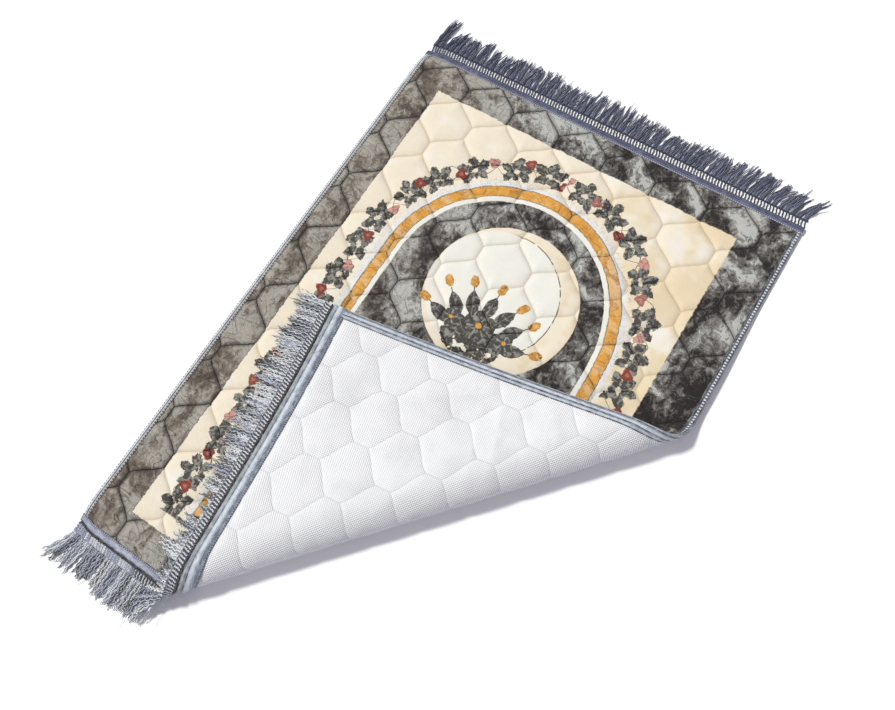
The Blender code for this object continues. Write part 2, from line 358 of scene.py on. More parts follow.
def write_attribute(piece: Piece, name: str, values: Array) -> None:
    """Stores one number or one vector for each vertex of a piece.

    Args:
        piece: The piece.
        name: Name of the attribute.
        values: One number or one row of three for each vertex.
    """
    kind, key = ("FLOAT_VECTOR", "vector") if values.ndim == 2 else ("FLOAT", "value")
    attribute = piece.data.attributes.new(name, kind, "POINT")
    attribute.data.foreach_set(key, values.astype(np.float32).ravel())


def lay_down(piece: Piece, points: Array) -> None:
    """Keeps a flat piece's cloth coordinates on it and lays it over the fold."""
    write_attribute(piece, "cloth", points)
    write_points(piece, FOLD.place(points))


# Shader graphs, written as formulas.


@dataclass(frozen=True)
class Ramp:
    """A smooth change from 0 at low to top at high."""

    low: float
    high: float
    top: float = 1.0


@dataclass(frozen=True)
class Noise:
    """Smooth noise from 0 to 1, with about scale lumps in a metre, stirred by swirl."""

    scale: float
    detail: float = 2.0
    rough: float = 0.5
    swirl: float = 0.0


@dataclass(frozen=True)
class Relief:
    """Fine relief: its depth in metres and how strongly it shows."""

    depth: float
    strength: float


class Field:
    """A number that varies over a piece, kept as the output of a shader node."""

    def __init__(self, graph: "Graph", socket: Socket) -> None:
        """Keeps the graph and the socket."""
        self.graph = graph
        self.socket = socket

    def math(self, operation: str, *others: "Number") -> "Field":
        """Works out one operation of a Math node on this and other values."""
        return self.graph.math(operation, self, *others)

    def __add__(self, other: "Number") -> "Field":
        """This value plus another."""
        return self.math("ADD", other)

    def __sub__(self, other: "Number") -> "Field":
        """This value less another."""
        return self.math("SUBTRACT", other)

    def __mul__(self, other: "Number") -> "Field":
        """This value times another."""
        return self.math("MULTIPLY", other)

    def __truediv__(self, other: "Number") -> "Field":
        """This value divided by another."""
        return self.math("DIVIDE", other)

    def flipped(self) -> "Field":
        """1 minus this value."""
        return self.graph.math("SUBTRACT", 1.0, self)

    def size(self) -> "Field":
        """This value without its sign."""
        return self.math("ABSOLUTE")

    def reach(self, other: "Field", scale: float = 1.0, other_scale: float = 1.0) -> "Field":
        """The length of two distances at right angles, their squares scaled.

        Args:
            other: The other distance.
            scale: Scale of this distance's square.
            other_scale: Scale of the other's square.

        Returns:
            The length.
        """
        total, more = self * self, other * other
        if scale != 1.0:
            total = total * scale
        if other_scale != 1.0:
            more = more * other_scale
        return (total + more).math("SQRT")

    def wave(self, period: float) -> "Field":
        """A sine wave of this value with a period."""
        return (self * (FULL_TURN / period)).math("SINE")

    def ramp(self, ramp: Ramp) -> "Field":
        """This value led through a ramp."""
        return self.graph.ramp(self, ramp)

    def above(self, edge: "Number", soft: float) -> "Field":
        """1 above an edge and 0 below it, over a soft width."""
        return (self - edge).ramp(Ramp(-soft / 2, soft / 2))

    def below(self, edge: "Number", soft: float) -> "Field":
        """1 below an edge and 0 above it, over a soft width."""
        return (self - edge).ramp(Ramp(soft / 2, -soft / 2))

    def between(self, low: float, high: float, soft: float) -> "Field":
        """1 between two edges and 0 outside them."""
        return self.above(low, soft) * self.below(high, soft)

    def line(self, place: "Number", half_width: float, soft: float) -> "Field":
        """1 along a thin line where this value equals the place."""
        return (self - place).size().below(half_width, soft)


Number = Union[Field, float]


class Graph:
    """The node graph of one material."""

    def __init__(self, name: str) -> None:
        """Starts a new material with its Principled shader.

        Args:
            name: Name of the material.
        """
        self.material = bpy.data.materials.new(name)
        self.material.use_nodes = True
        self.nodes = self.material.node_tree.nodes
        self.links = self.material.node_tree.links
        self.shader = self.nodes["Principled BSDF"]

    def feed(self, socket: Socket, value: object) -> None:
        """Links a field or a socket to an input, or sets a plain value on it.

        Args:
            socket: The input.
            value: A field, a socket, a number or a colour.
        """
        if isinstance(value, Field):
            value = value.socket
        if isinstance(value, Socket):
            self.links.new(value, socket)
        else:
            socket.default_value = value

    def node(self, kind: str, **inputs: object) -> bpy.types.ShaderNode:
        """Adds a node and feeds its named inputs, with _ for a space in a name.

        Args:
            kind: The node's kind, after "ShaderNode".
            inputs: What to feed to each input.

        Returns:
            The node.
        """
        node = self.nodes.new("ShaderNode" + kind)
        for name, value in inputs.items():
            self.feed(node.inputs[name.replace("_", " ")], value)
        return node

    def math(self, operation: str, *values: Number) -> Field:
        """Adds a Math node.

        Args:
            operation: What it works out.
            values: The values that it works on.

        Returns:
            Its result.
        """
        node = self.node("Math")
        node.operation = operation
        for socket, value in zip(node.inputs, values):
            self.feed(socket, value)
        return Field(self, node.outputs[0])

    def ramp(self, value: Number, ramp: Ramp) -> Field:
        """Leads a value through a smooth ramp.

        Args:
            value: The value.
            ramp: The ramp.

        Returns:
            What comes out of it.
        """
        node = self.node(
            "MapRange", Value=value, From_Min=ramp.low, From_Max=ramp.high, To_Max=ramp.top
        )
        node.interpolation_type = "SMOOTHSTEP"
        return Field(self, node.outputs[0])

    def split(self, kind: str, vector: Socket) -> tuple[Field, Field, Field]:
        """Splits a vector or a colour into its three parts with a node of this kind."""
        node = self.node(kind)
        self.links.new(vector, node.inputs[0])
        return tuple(Field(self, socket) for socket in node.outputs)

    def attribute(self, name: str) -> tuple[Field, Field, Field]:
        """The three parts of a vector kept on the piece."""
        node = self.node("Attribute")
        node.attribute_name = name
        return self.split("SeparateXYZ", node.outputs["Vector"])

    def number(self, name: str) -> Field:
        """A single number kept on the piece."""
        node = self.node("Attribute")
        node.attribute_name = name
        return Field(self, node.outputs["Fac"])

    def vector(self, x: Number, y: Number) -> Socket:
        """A level vector of two numbers."""
        return self.node("CombineXYZ", X=x, Y=y).outputs[0]

    def noise(self, place: Socket, noise: Noise) -> Field:
        """Adds a Noise Texture node.

        Args:
            place: The coordinates that it reads.
            noise: Its settings.

        Returns:
            The noise.
        """
        node = self.node(
            "TexNoise", Vector=place, Scale=noise.scale, Detail=noise.detail,
            Roughness=noise.rough, Distortion=noise.swirl,
        )
        return Field(self, node.outputs["Fac"])

    def swing(self, place: Socket, noise: Noise, size: float) -> Field:
        """Noise that swings about 0, over a size in all."""
        return (self.noise(place, noise) - 0.5) * size

    def chance(self, key: Field) -> tuple[Field, Field, Field]:
        """Three random numbers from 0 to 1 for each whole value of the key.

        Args:
            key: The key.

        Returns:
            The numbers.
        """
        node = self.node("TexWhiteNoise")
        node.noise_dimensions = "1D"
        self.feed(node.inputs["W"], key)
        return self.split("SeparateColor", node.outputs["Color"])

    def bump(self, height: Field, relief: Relief) -> None:
        """Adds fine relief to the shader's normal, after any added before.

        Args:
            height: The relief's height, from 0 to 1.
            relief: Its depth and strength.
        """
        node = self.node("Bump", Distance=relief.depth, Strength=relief.strength, Height=height)
        normal = self.shader.inputs["Normal"]
        if normal.is_linked:
            self.links.new(normal.links[0].from_socket, node.inputs["Normal"])
        self.links.new(node.outputs[0], normal)

    def set(self, **values: float) -> None:
        """Sets plain values on the shader's own sockets, named with _ for a space."""
        for key, value in values.items():
            self.shader.inputs[key.replace("_", " ")].default_value = value


def linear(colour: Colour) -> tuple[float, float, float, float]:
    """Turns a colour as seen into the colour of the surface.

    Args:
        colour: How it is seen in the studio's light, 0 to 255.

    Returns:
        Its linear red, green, blue and alpha.
    """
    parts = [c / 255 for c in colour]
    light = [p / 12.92 if p <= 0.04045 else ((p + 0.055) / 1.055) ** 2.4 for p in parts]
    return (*(WHITE_SHARE * p for p in light), 1.0)


class Dye:
    """Colours laid one over the other on a piece."""

    def __init__(self, graph: Graph, base: Colour) -> None:
        """Starts with one colour all over."""
        self.graph = graph
        self.value: object = linear(base)

    def over(self, share: Number, colour: Union[Colour, "Dye"], blend: str = "MIX") -> None:
        """Lays a colour over what is there.

        Args:
            share: How much of it shows, from 0 to 1.
            colour: The colour, or other dyes.
            blend: The way it mixes with what is under it.
        """
        node = self.graph.node("Mix")
        node.data_type = "RGBA"
        node.blend_type = blend
        node.clamp_factor = True
        top = colour.value if isinstance(colour, Dye) else linear(colour)
        for number, value in ((0, share), (6, self.value), (7, top)):
            self.graph.feed(node.inputs[number], value)
        self.value = node.outputs[2]

    def finish(self) -> None:
        """Gives the colours to the shader."""
        self.graph.feed(self.graph.shader.inputs["Base Color"], self.value)


# Finishes.


@dataclass(frozen=True)
class Inks:
    """Colours of the print as they are seen, 0 to 255."""

    charcoal: Colour = (112, 107, 103)
    # Deep tone of the crushed pile, also used for painted shade in creases and beside the seams.
    charcoal_deep_and_shade: Colour = (48, 43, 42)
    # Pale tone of the crushed pile with painted sheen, also used for painted highlights on crumples.
    charcoal_light_and_sheen: Colour = (198, 198, 193)
    charcoal_brown: Colour = (140, 131, 122)
    warmth: Colour = (255, 243, 228)
    cream: Colour = (248, 236, 214)
    cream_warm: Colour = (238, 218, 182)
    cream_pale: Colour = (250, 246, 238)
    moonlight: Colour = (247, 245, 235)
    ochre: Colour = (233, 167, 74)
    ochre_light: Colour = (240, 190, 112)
    ochre_dark: Colour = (200, 145, 82)
    peach: Colour = (236, 206, 170)
    haze: Colour = (238, 240, 243)
    leaf: Colour = (84, 80, 76)
    leaf_light: Colour = (158, 157, 148)
    red: Colour = (150, 72, 57)
    pink: Colour = (214, 160, 148)
    wine: Colour = (118, 46, 42)
    stem: Colour = (120, 112, 100)
    thread: Colour = (38, 33, 32)
    # Painted shade in the seam valleys, on dark print and on light print.
    valley_shade_on_dark_print: Colour = (40, 37, 36)
    valley_shade_on_light_print: Colour = (214, 188, 150)


INKS = Inks()
PRINT_EDGE = 0.0016


@dataclass
class Face:
    """The printed face: its graph and dyes, and the fields that its motifs read."""

    graph: Graph
    dye: Dye
    crushed: Dye
    place: Socket
    x: Field
    y: Field
    strip: Field
    wobble: Field
    ragged: Field

    def noise(self, noise: Noise) -> Field:
        """Noise over the cloth."""
        return self.graph.noise(self.place, noise)

    def leafy(self, mask: Field, veins: Field, light: Ramp) -> None:
        """Dyes a dark leaf or flower, lighter in patches along its veins."""
        self.dye.over(mask, INKS.leaf)
        self.dye.over(mask * veins.ramp(light), INKS.leaf_light)

    def round(self, middle: Sequence[float]) -> tuple[Field, Field, Field]:
        """Distances right of, above and away from a point of the cloth."""
        right, above = self.x - middle[0], self.y - middle[1]
        return right, above, right.reach(above)


@dataclass(frozen=True)
class Rosette:
    """A lobed flower about a point: its mean radius, its lobes, and how deep they are cut."""

    radius: float
    lobes: int
    depth: float

    def draw(self, along: Field, out: Field, turn: Number, ragged: Field) -> tuple[Field, Field, Field]:
        """Draws the rosette.

        Args:
            along: Distance along from its middle.
            out: Distance outwards from its middle.
            turn: Turn of its lobes, in radians.
            ragged: Unevenness added to its outline.

        Returns:
            Its mask, the distance from its middle, and the wave of its lobes.
        """
        reach = along.reach(out)
        wave = (out.math("ARCTAN2", along) * self.lobes + turn).math("COSINE")
        edge = wave * (self.radius * self.depth) + self.radius + ragged
        return reach.below(edge, PRINT_EDGE), reach, wave


@dataclass(frozen=True)
class Leaf:
    """A pointed leaf: its middle, the angle it points at, and its half length and width."""

    along: float
    out: float
    turn: float
    length: float
    width: float

    def draw(self, along: Field, out: Field, ragged: Field) -> Field:
        """Draws the leaf.

        Args:
            along: Distance along the strip.
            out: Distance outwards.
            ragged: Unevenness added to its outline.

        Returns:
            Its mask.
        """
        a, b = along - self.along, out - self.out
        c, s = math.cos(self.turn), math.sin(self.turn)
        lengthwise = (a * c + b * s) / self.length
        sideways = (b * c - a * s).size()
        width = (lengthwise * lengthwise).flipped() * self.width + ragged
        return sideways.below(width, PRINT_EDGE)


@dataclass(frozen=True)
class CrushedPile:
    """Charcoal pile in brushed patches with painted sheen, crease shade and crumple highlights."""

    stretch: Pair = (0.80, 0.60)
    slant: float = 0.34
    broad: Noise = Noise(19.0, 3.5, 0.62, 0.7)
    fine: Noise = Noise(105.0, 4.0, 0.68, 0.9)
    curl: Noise = Noise(30.0, 3.0, 0.55, 2.4)
    # where the pile is darker: towards the right, short of the far end
    region_x: Ramp = Ramp(0.56, 0.74, 0.100)
    region_y: Ramp = Ramp(0.93, 0.70)
    left: Ramp = Ramp(0.36, 0.06)
    pale_x: Ramp = Ramp(0.55, 0.20, 0.072)
    pale_y: Ramp = Ramp(1.00, 1.08, 0.010)
    broad_share: float = 1.28
    fine_share: float = 0.70
    lowered: float = 0.135
    brown_share: float = 0.90
    deep: Ramp = Ramp(0.515, 0.365)
    deep_spared: float = 0.45
    light: Ramp = Ramp(0.490, 0.650)
    light_spared: float = 0.25
    # painted shade along curly creases and painted highlights along crumples
    crease_shade: Triple = (0.50, 0.003, 0.026)
    crease_shade_x: Ramp = Ramp(0.60, 0.20, 0.42)
    crumple_highlight: Triple = (0.56, 0.003, 0.022)
    crumple_highlight_share: float = 0.34
    warm_share: float = 0.55
    # painted shade in the seam valleys
    beside_seam: Ramp = Ramp(0.0085, 0.0015, 0.30)

    def dyed(self, graph: Graph, x: Field, y: Field, seam: Field) -> Dye:
        """Dyes the pile.

        Args:
            graph: The print's graph.
            x: Cloth x.
            y: Cloth y.
            seam: Distance from the nearest quilting seam.

        Returns:
            The pile's dyes.
        """
        brushed = graph.vector(
            x * self.stretch[0] + y * self.slant, y * self.stretch[1] - x * self.slant
        )
        dye = Dye(graph, INKS.charcoal)
        broad = graph.noise(brushed, self.broad)
        fine = graph.noise(brushed, self.fine)
        # Darker towards the right, short of the far end.
        region = x.ramp(self.region_x) * y.ramp(self.region_y)
        left = x.ramp(self.left)
        pale = x.ramp(self.pale_x) + y.ramp(self.pale_y)
        tone = broad * self.broad_share + (fine - 0.5) * self.fine_share - region + pale
        tone = tone - self.lowered
        dye.over(left * self.brown_share, INKS.charcoal_brown)
        # Deep patches are the pile's own darker tone; light patches are its paler tone with painted
        # sheen.
        for ramp, spared, ink in (
            (self.deep, self.deep_spared, INKS.charcoal_deep_and_shade),
            (self.light, self.light_spared, INKS.charcoal_light_and_sheen),
        ):
            dye.over(tone.ramp(ramp) * (left * spared).flipped(), ink)
        curl = graph.noise(brushed, self.curl)
        # Painted shade along curly creases and painted highlights along crumples.
        dye.over(curl.line(*self.crease_shade) * x.ramp(self.crease_shade_x), INKS.charcoal_deep_and_shade)
        dye.over(curl.line(*self.crumple_highlight) * self.crumple_highlight_share, INKS.charcoal_light_and_sheen)
        dye.over(left * self.warm_share, INKS.warmth, "MULTIPLY")
        # Painted shade in the seam valleys.
        dye.over(seam.ramp(self.beside_seam), INKS.charcoal_deep_and_shade)
        return dye


@dataclass(frozen=True)
class CreamPile:
    """Cream pile with warmer and paler clouds, warmer towards the right."""

    cloud: Noise = Noise(11.0, 3.0, 0.6)
    middle: float = 0.4
    drift: float = 0.46
    warm: Ramp = Ramp(0.51, 0.68, 0.85)
    pale: Ramp = Ramp(0.46, 0.30, 0.75)

    def dyed(self, graph: Graph, place: Socket, x: Field) -> Dye:
        """Dyes the pile.

        Args:
            graph: The print's graph.
            place: Cloth coordinates.
            x: Cloth x.

        Returns:
            The pile's dyes.
        """
        dye = Dye(graph, INKS.cream)
        cloud = graph.noise(place, self.cloud)
        dye.over((cloud + (x - self.middle) * self.drift).ramp(self.warm), INKS.cream_warm)
        dye.over(cloud.ramp(self.pale), INKS.cream_pale)
        return dye


@dataclass(frozen=True)
class Niche:
    """The ochre band of the niche with its white inner line and dark inside."""

    x: float = 0.3965
    y: float = 0.7046
    foot_y: float = 0.130
    inside: float = 0.1975
    band_in: float = 0.207
    band_out: float = 0.228
    fade_out: float = 0.246
    sway: Ramp = Ramp(0.78, 0.66, 0.0065)
    sway_soft: float = 0.05
    painted: Noise = Noise(44.0, 4.0, 0.68, 0.7)
    # painted glint paling the band at its upper right: how uneven its edge is, where it lies, how
    # strong
    glint_uneven: float = 0.3
    region_x: Ramp = Ramp(0.51, 0.56)
    region_y: Ramp = Ramp(0.78, 0.84)
    glint_share: float = 0.80
    beads: Triple = (165.0, 60.0, 3.0)
    bead: Ramp = Ramp(0.1, 1.0, 0.55)
    legs_x: float = 0.40
    legs: Pair = (0.15, 0.03)
    haze_share: float = 0.95
    scribble: Noise = Noise(60.0, 3.0, 0.6, 1.5)
    scribble_line: Triple = (0.5, 0.006, 0.014)
    scribble_soft: float = 0.010
    scribble_share: float = 0.55
    light: Ramp = Ramp(0.49, 0.66, 0.95)
    dark: Ramp = Ramp(0.48, 0.36, 0.55)
    rough: Ramp = Ramp(0.40, 0.55, 0.85)
    outer_line: Pair = (0.0011, 0.0014)
    inner_line: Pair = (0.0008, 0.0012)

    def strip(self, graph: Graph, x: Field, y: Field) -> Field:
        """Measures outwards from the niche's middle line, round its arch and legs.

        Args:
            graph: The print's graph.
            x: Cloth x.
            y: Cloth y.

        Returns:
            The distance.
        """
        sway = y.ramp(self.sway) * x.above(self.x, self.sway_soft)
        across = (x - self.x - sway).size()
        above = (y - self.y).math("MAXIMUM", 0.0)
        foot = graph.math("SUBTRACT", self.foot_y + (self.band_in + self.band_out) / 2, y)
        return across.reach(above).math("MAXIMUM", foot)

    def lay(self, face: Face, strip: Field) -> None:
        """Prints the niche on the face.

        Args:
            face: The printed face.
            strip: Distance outwards from the niche's middle line, slightly uneven.
        """
        dye, x, y = face.dye, face.x, face.y
        painted = face.noise(self.painted)
        # Painted glint on the band's upper right.
        region = (x + (painted - 0.5) * self.glint_uneven).ramp(self.region_x) * y.ramp(self.region_y)
        beads = y * self.beads[0] + x * self.beads[1] + painted * self.beads[2]
        beads_and_glint = beads.math("SINE").ramp(self.bead) * (x - self.legs_x).size().above(*self.legs)
        beads_and_glint = beads_and_glint.math("MAXIMUM", region * self.glint_share)
        dye.over(strip.ramp(Ramp(self.fade_out, self.band_out, self.haze_share)), INKS.haze)
        scribble = face.noise(self.scribble).line(*self.scribble_line)
        fading = strip.between(self.band_out, self.fade_out, self.scribble_soft)
        dye.over(scribble * fading * self.scribble_share, INKS.leaf_light)
        dye.over(strip.below(self.band_out, PRINT_EDGE), INKS.ochre)
        in_band = strip.between(self.band_in, self.band_out, PRINT_EDGE)
        # The band is paled to peach in its printed beads and under the painted glint.
        dye.over(in_band * beads_and_glint, INKS.peach)
        dye.over(in_band * painted.ramp(self.light), INKS.ochre_light)
        dye.over(in_band * painted.ramp(self.dark), INKS.ochre_dark)
        rough = painted.ramp(self.rough)
        dye.over(strip.line(self.band_out, *self.outer_line) * rough, INKS.leaf_light)
        dye.over(strip.below(self.band_in, PRINT_EDGE), INKS.moonlight)
        dye.over(strip.line(self.band_in, *self.inner_line) * rough, INKS.leaf_light)
        dye.over(strip.below(self.inside, PRINT_EDGE), face.crushed)


@dataclass
class Course:
    """The garland's course: distances along and out of it, its side, and where it shows."""

    along: Field
    out: Field
    side: Field
    shown: Field


@dataclass(frozen=True)
class Garland:
    """Leaves, dark flowers and red blossoms that follow the niche outside its band."""

    niche: Niche = Niche()
    radius: float = 0.2655
    foot: float = 0.098
    repeats: int = 6
    soft: float = 0.004
    side_key: float = 57.0
    vines: tuple[Triple, ...] = ((0.0, 0.0110, 0.0008), (2.6, 0.0170, 0.0006))
    vine_soft: float = 0.0014
    vine_share: float = 0.75
    veins: Noise = Noise(105.0, 3.0, 0.6, 0.8)
    leaves: tuple[Leaf, ...] = (
        Leaf(0.0180, 0.0085, 0.7, 0.0150, 0.0098),
        Leaf(-0.0190, 0.0075, 2.5, 0.0145, 0.0092),
        Leaf(0.0170, -0.0110, -0.8, 0.0125, 0.0082),
        Leaf(-0.0160, -0.0125, -2.3, 0.0130, 0.0080),
        Leaf(0.0015, 0.0190, 1.5, 0.0120, 0.0088),
    )
    leaf_ragged: float = 0.8
    leaf_light: Ramp = Ramp(0.47, 0.57, 0.85)
    flower: Rosette = Rosette(0.0172, 5, 0.12)
    flower_light: Ramp = Ramp(0.49, 0.59, 0.85)
    flower_jitter: float = 0.016
    flower_drift: float = 0.012
    cleft: Pair = (-0.80, 0.3)
    cleft_reach: Pair = (0.006, 0.003)
    cleft_share: float = 0.8
    heart_shape: Pair = (0.5, 1.7)
    heart_ragged: float = 1.2
    heart: Pair = (0.0050, 0.0024)
    heart_share: float = 0.85
    blossom: Rosette = Rosette(0.0098, 3, 0.18)
    blossom_ragged: float = 0.45
    blossom_jitter: float = 0.012
    blossom_drift: float = 0.026
    blossom_out: float = 0.35
    pinker: Ramp = Ramp(0.45, 0.75)
    pink_heart: Pair = (0.0035, 0.004)
    pink_share: float = 0.5
    wine_cleft: Pair = (-0.7, 0.5)
    wine_share: float = 0.4

    @property
    def period(self) -> float:
        """Length of one repeat along the garland."""
        return self.radius * math.pi / 2 / self.repeats

    def repeat(
        self, face: Face, course: Course, shift: float, jitter: float
    ) -> tuple[Field, Field, Field]:
        """Cuts the garland into its repeats.

        Args:
            face: The printed face.
            course: The garland's course.
            shift: Share of a repeat by which they are moved along.
            jitter: How far their middles are scattered.

        Returns:
            Distance along from a repeat's middle, and two of its random numbers.
        """
        step = course.along / self.period
        if shift:
            step = step + shift
        index = step.math("FLOOR")
        key = index + course.side
        one, two, three = face.graph.chance(key + shift if shift else key)
        return (step - index - 0.5) * self.period + (one - 0.5) * jitter, two, three

    def lay(self, face: Face) -> None:
        """Prints the garland on the face.

        Args:
            face: The printed face.
        """
        across = face.x - self.niche.x
        rise = face.y - self.niche.y
        angle = rise.math("MAXIMUM", 0.0).math("ARCTAN2", across.size())
        along = angle * self.radius + rise.math("MINIMUM", 0.0)
        out = face.strip - self.radius
        side = across.math("GREATER_THAN", 0.0) * self.side_key
        shown = face.y.above(self.foot, self.soft)
        shown = shown * face.strip.above(self.niche.band_out + self.soft, self.soft)
        course = Course(along, out, side, shown)
        for phase, swing, width in self.vines:
            wave = (along * (FULL_TURN / self.period) + phase).math("SINE") * swing
            vine = out.line(wave, width, self.vine_soft)
            face.dye.over(vine * shown * self.vine_share, INKS.stem)
        self.lay_flowers(face, course)
        self.lay_blossoms(face, course)

    def lay_flowers(self, face: Face, course: Course) -> None:
        """Prints a large ragged dark flower in each repeat, with broad leaves beside it.

        Args:
            face: The printed face.
            course: The garland's course.
        """
        local, two, three = self.repeat(face, course, 0.0, self.flower_jitter)
        level = course.out + (two - 0.5) * self.flower_drift
        veins = face.noise(self.veins)
        for leaf in self.leaves:
            mask = leaf.draw(local, level, face.ragged * self.leaf_ragged) * course.shown
            face.leafy(mask, veins, self.leaf_light)
        mask, reach, wave = self.flower.draw(local, level, three * FULL_TURN, face.ragged)
        mask = mask * course.shown
        face.leafy(mask, veins, self.flower_light)
        clefts = wave.below(*self.cleft) * reach.above(*self.cleft_reach)
        face.dye.over(mask * clefts * self.cleft_share, INKS.leaf_light)
        oval = local.reach(level, *self.heart_shape)
        heart = (oval + face.ragged * self.heart_ragged).below(*self.heart) * course.shown
        face.dye.over(heart * self.heart_share, INKS.cream)

    def lay_blossoms(self, face: Face, course: Course) -> None:
        """Prints a red or pink blossom where the repeats meet, now outside and now inside.

        Args:
            face: The printed face.
            course: The garland's course.
        """
        local, two, three = self.repeat(face, course, 0.5, self.blossom_jitter)
        level = course.out - (two - self.blossom_out) * self.blossom_drift
        ragged = face.ragged * self.blossom_ragged
        mask, reach, wave = self.blossom.draw(local, level, three * FULL_TURN, ragged)
        bloom = Dye(face.graph, INKS.red)
        bloom.over(three.ramp(self.pinker), INKS.pink)
        bloom.over(reach.below(*self.pink_heart) * self.pink_share, INKS.pink)
        bloom.over(wave.below(*self.wine_cleft) * self.wine_share, INKS.wine)
        face.dye.over(mask * course.shown, bloom)


@dataclass(frozen=True)
class Disc:
    """The cream disc in the niche, with the paler disc set off its middle."""

    disc: Triple = (0.4095, 0.7141, 0.1405)
    moon: Triple = (0.3900, 0.7176, 0.1200)
    uneven: float = 0.5
    clouds: Noise = Noise(26.0)
    warm: Ramp = Ramp(0.45, 0.65, 0.7)
    moon_edge: float = 2 * PRINT_EDGE
    rim_gap: float = 0.001
    rim: Pair = (0.0008, 0.0011)
    rim_slant: float = 0.35
    rim_side: Ramp = Ramp(0.0, 0.06, 0.9)
    broken: Noise = Noise(55.0)
    breaks: Ramp = Ramp(0.36, 0.50)

    def lay(self, face: Face) -> None:
        """Prints both discs on the face.

        Args:
            face: The printed face.
        """
        dye = face.dye
        _, _, reach = face.round(self.disc)
        inside = (reach + face.wobble * self.uneven).below(self.disc[2], PRINT_EDGE)
        dye.over(inside, INKS.cream)
        dye.over(inside * face.noise(self.clouds).ramp(self.warm), INKS.cream_warm)
        right, above, reach = face.round(self.moon)
        reach = reach + face.wobble * self.uneven
        dye.over(reach.below(self.moon[2], self.moon_edge), INKS.moonlight)
        rim = reach.line(self.moon[2] + self.rim_gap, *self.rim)
        rim = rim * (right + above * self.rim_slant).ramp(self.rim_side)
        dye.over(rim * face.noise(self.broken).ramp(self.breaks), INKS.leaf)


@dataclass(frozen=True)
class Spray:
    """A plain spray of leaves, flowers and buds that fans up in the middle of the disc."""

    middle: Pair = (0.4030, 0.6120)
    fan: float = 0.40
    shown: Pair = (1.4, 0.02)
    key: float = 11.0
    curve: Pair = (0.05, 2.0)
    veins: Noise = Noise(110.0, 3.0, 0.6, 0.8)
    ragged: float = 0.28
    bush_y: float = 0.010
    bush_flat: float = 0.42
    bush: Noise = Noise(62.0, 2.0, 0.50)
    bush_reach: Pair = (0.040, 0.010)
    bush_fall: float = 3.0
    bush_edge: Pair = (0.35, 0.02)
    bush_light: Ramp = Ramp(0.49, 0.60, 0.85)
    bush_rim: Triple = (0.335, 0.355, 0.01)
    bush_rim_share: float = 0.5
    stalk: Triple = (0.0, 0.0008, 0.0012)
    stalk_reach: Pair = (0.112, 0.004)
    leaves: tuple[Triple, ...] = (
        # near end, far end, half width
        (0.018, 0.064, 0.0140),
        (0.052, 0.104, 0.0130),
    )
    leaf_narrow: float = 0.0008
    leaf_edge: float = 0.0014
    leaf_ends: Triple = (0.0, 1.0, 0.04)
    leaf_light: Ramp = Ramp(0.50, 0.60, 0.80)
    midrib: Triple = (0.0, 0.0004, 0.0009)
    bud_at: Pair = (0.117, 0.010)
    bud_long: float = 0.45
    bud: float = 0.0078
    bud_light: Ramp = Ramp(0.50, 0.58, 0.9)
    bud_dark: Ramp = Ramp(0.46, 0.38, 0.8)
    flowers: tuple[tuple[float, float, Rosette], ...] = (
        (0.0, 0.040, Rosette(0.0255, 6, 0.16)),
        (-0.052, 0.030, Rosette(0.016, 5, 0.16)),
        (0.055, 0.034, Rosette(0.017, 5, 0.16)),
    )
    flower_turn: float = 0.8
    flower_light: Ramp = Ramp(0.51, 0.60, 0.80)
    cleft: Pair = (-0.8, 0.25)
    cleft_from: Pair = (0.35, 0.004)
    heart: float = 0.24

    def lay(self, face: Face) -> None:
        """Prints the spray on the face.

        Args:
            face: The printed face.
        """
        dye = face.dye
        right, above, reach = face.round(self.middle)
        angle = right.math("ARCTAN2", above)
        index = (angle / self.fan + 0.5).math("FLOOR")
        one, two, _ = face.graph.chance(index + self.key)
        curved = (reach - self.curve[0]) * (one - 0.5) * self.curve[1]
        sideways = (angle - index * self.fan + curved) * reach
        shown = angle.size().below(*self.shown)
        veins = face.noise(self.veins)
        rough = face.ragged * self.ragged
        spread = right.reach(above - self.bush_y, self.bush_flat)
        lumps = face.noise(self.bush)
        bushy = lumps * spread.below(*self.bush_reach) - spread * self.bush_fall
        face.leafy(bushy.above(*self.bush_edge), veins, self.bush_light)
        dye.over(bushy.between(*self.bush_rim) * self.bush_rim_share, INKS.ochre_light)
        dye.over(sideways.line(*self.stalk) * reach.below(*self.stalk_reach) * shown, INKS.leaf)
        for near, far, width in self.leaves:
            share = (reach - near) / (far - near)
            swell = (share * share.flipped()).math("MAXIMUM", 0.0) * (4 * width)
            mask = sideways.size().below(swell + rough - self.leaf_narrow, self.leaf_edge)
            mask = mask * share.between(*self.leaf_ends) * shown
            face.leafy(mask, veins, self.leaf_light)
            dye.over(mask * sideways.line(*self.midrib), INKS.leaf_light)
        bud_reach = reach - self.bud_at[0] - two * self.bud_at[1]
        bud = bud_reach.reach(sideways, self.bud_long).below(rough + self.bud, PRINT_EDGE) * shown
        dye.over(bud, INKS.ochre)
        dye.over(bud * veins.ramp(self.bud_light), INKS.ochre_light)
        dye.over(bud * veins.ramp(self.bud_dark), INKS.ochre_dark)
        for x, y, flower in self.flowers:
            mask, span, wave = flower.draw(right - x, above - y, self.flower_turn, rough)
            face.leafy(mask, veins, self.flower_light)
            from_heart = span.above(flower.radius * self.cleft_from[0], self.cleft_from[1])
            dye.over(mask * wave.below(*self.cleft) * from_heart, INKS.leaf_light)
            dye.over(span.below(rough + flower.radius * self.heart, PRINT_EDGE), INKS.ochre)


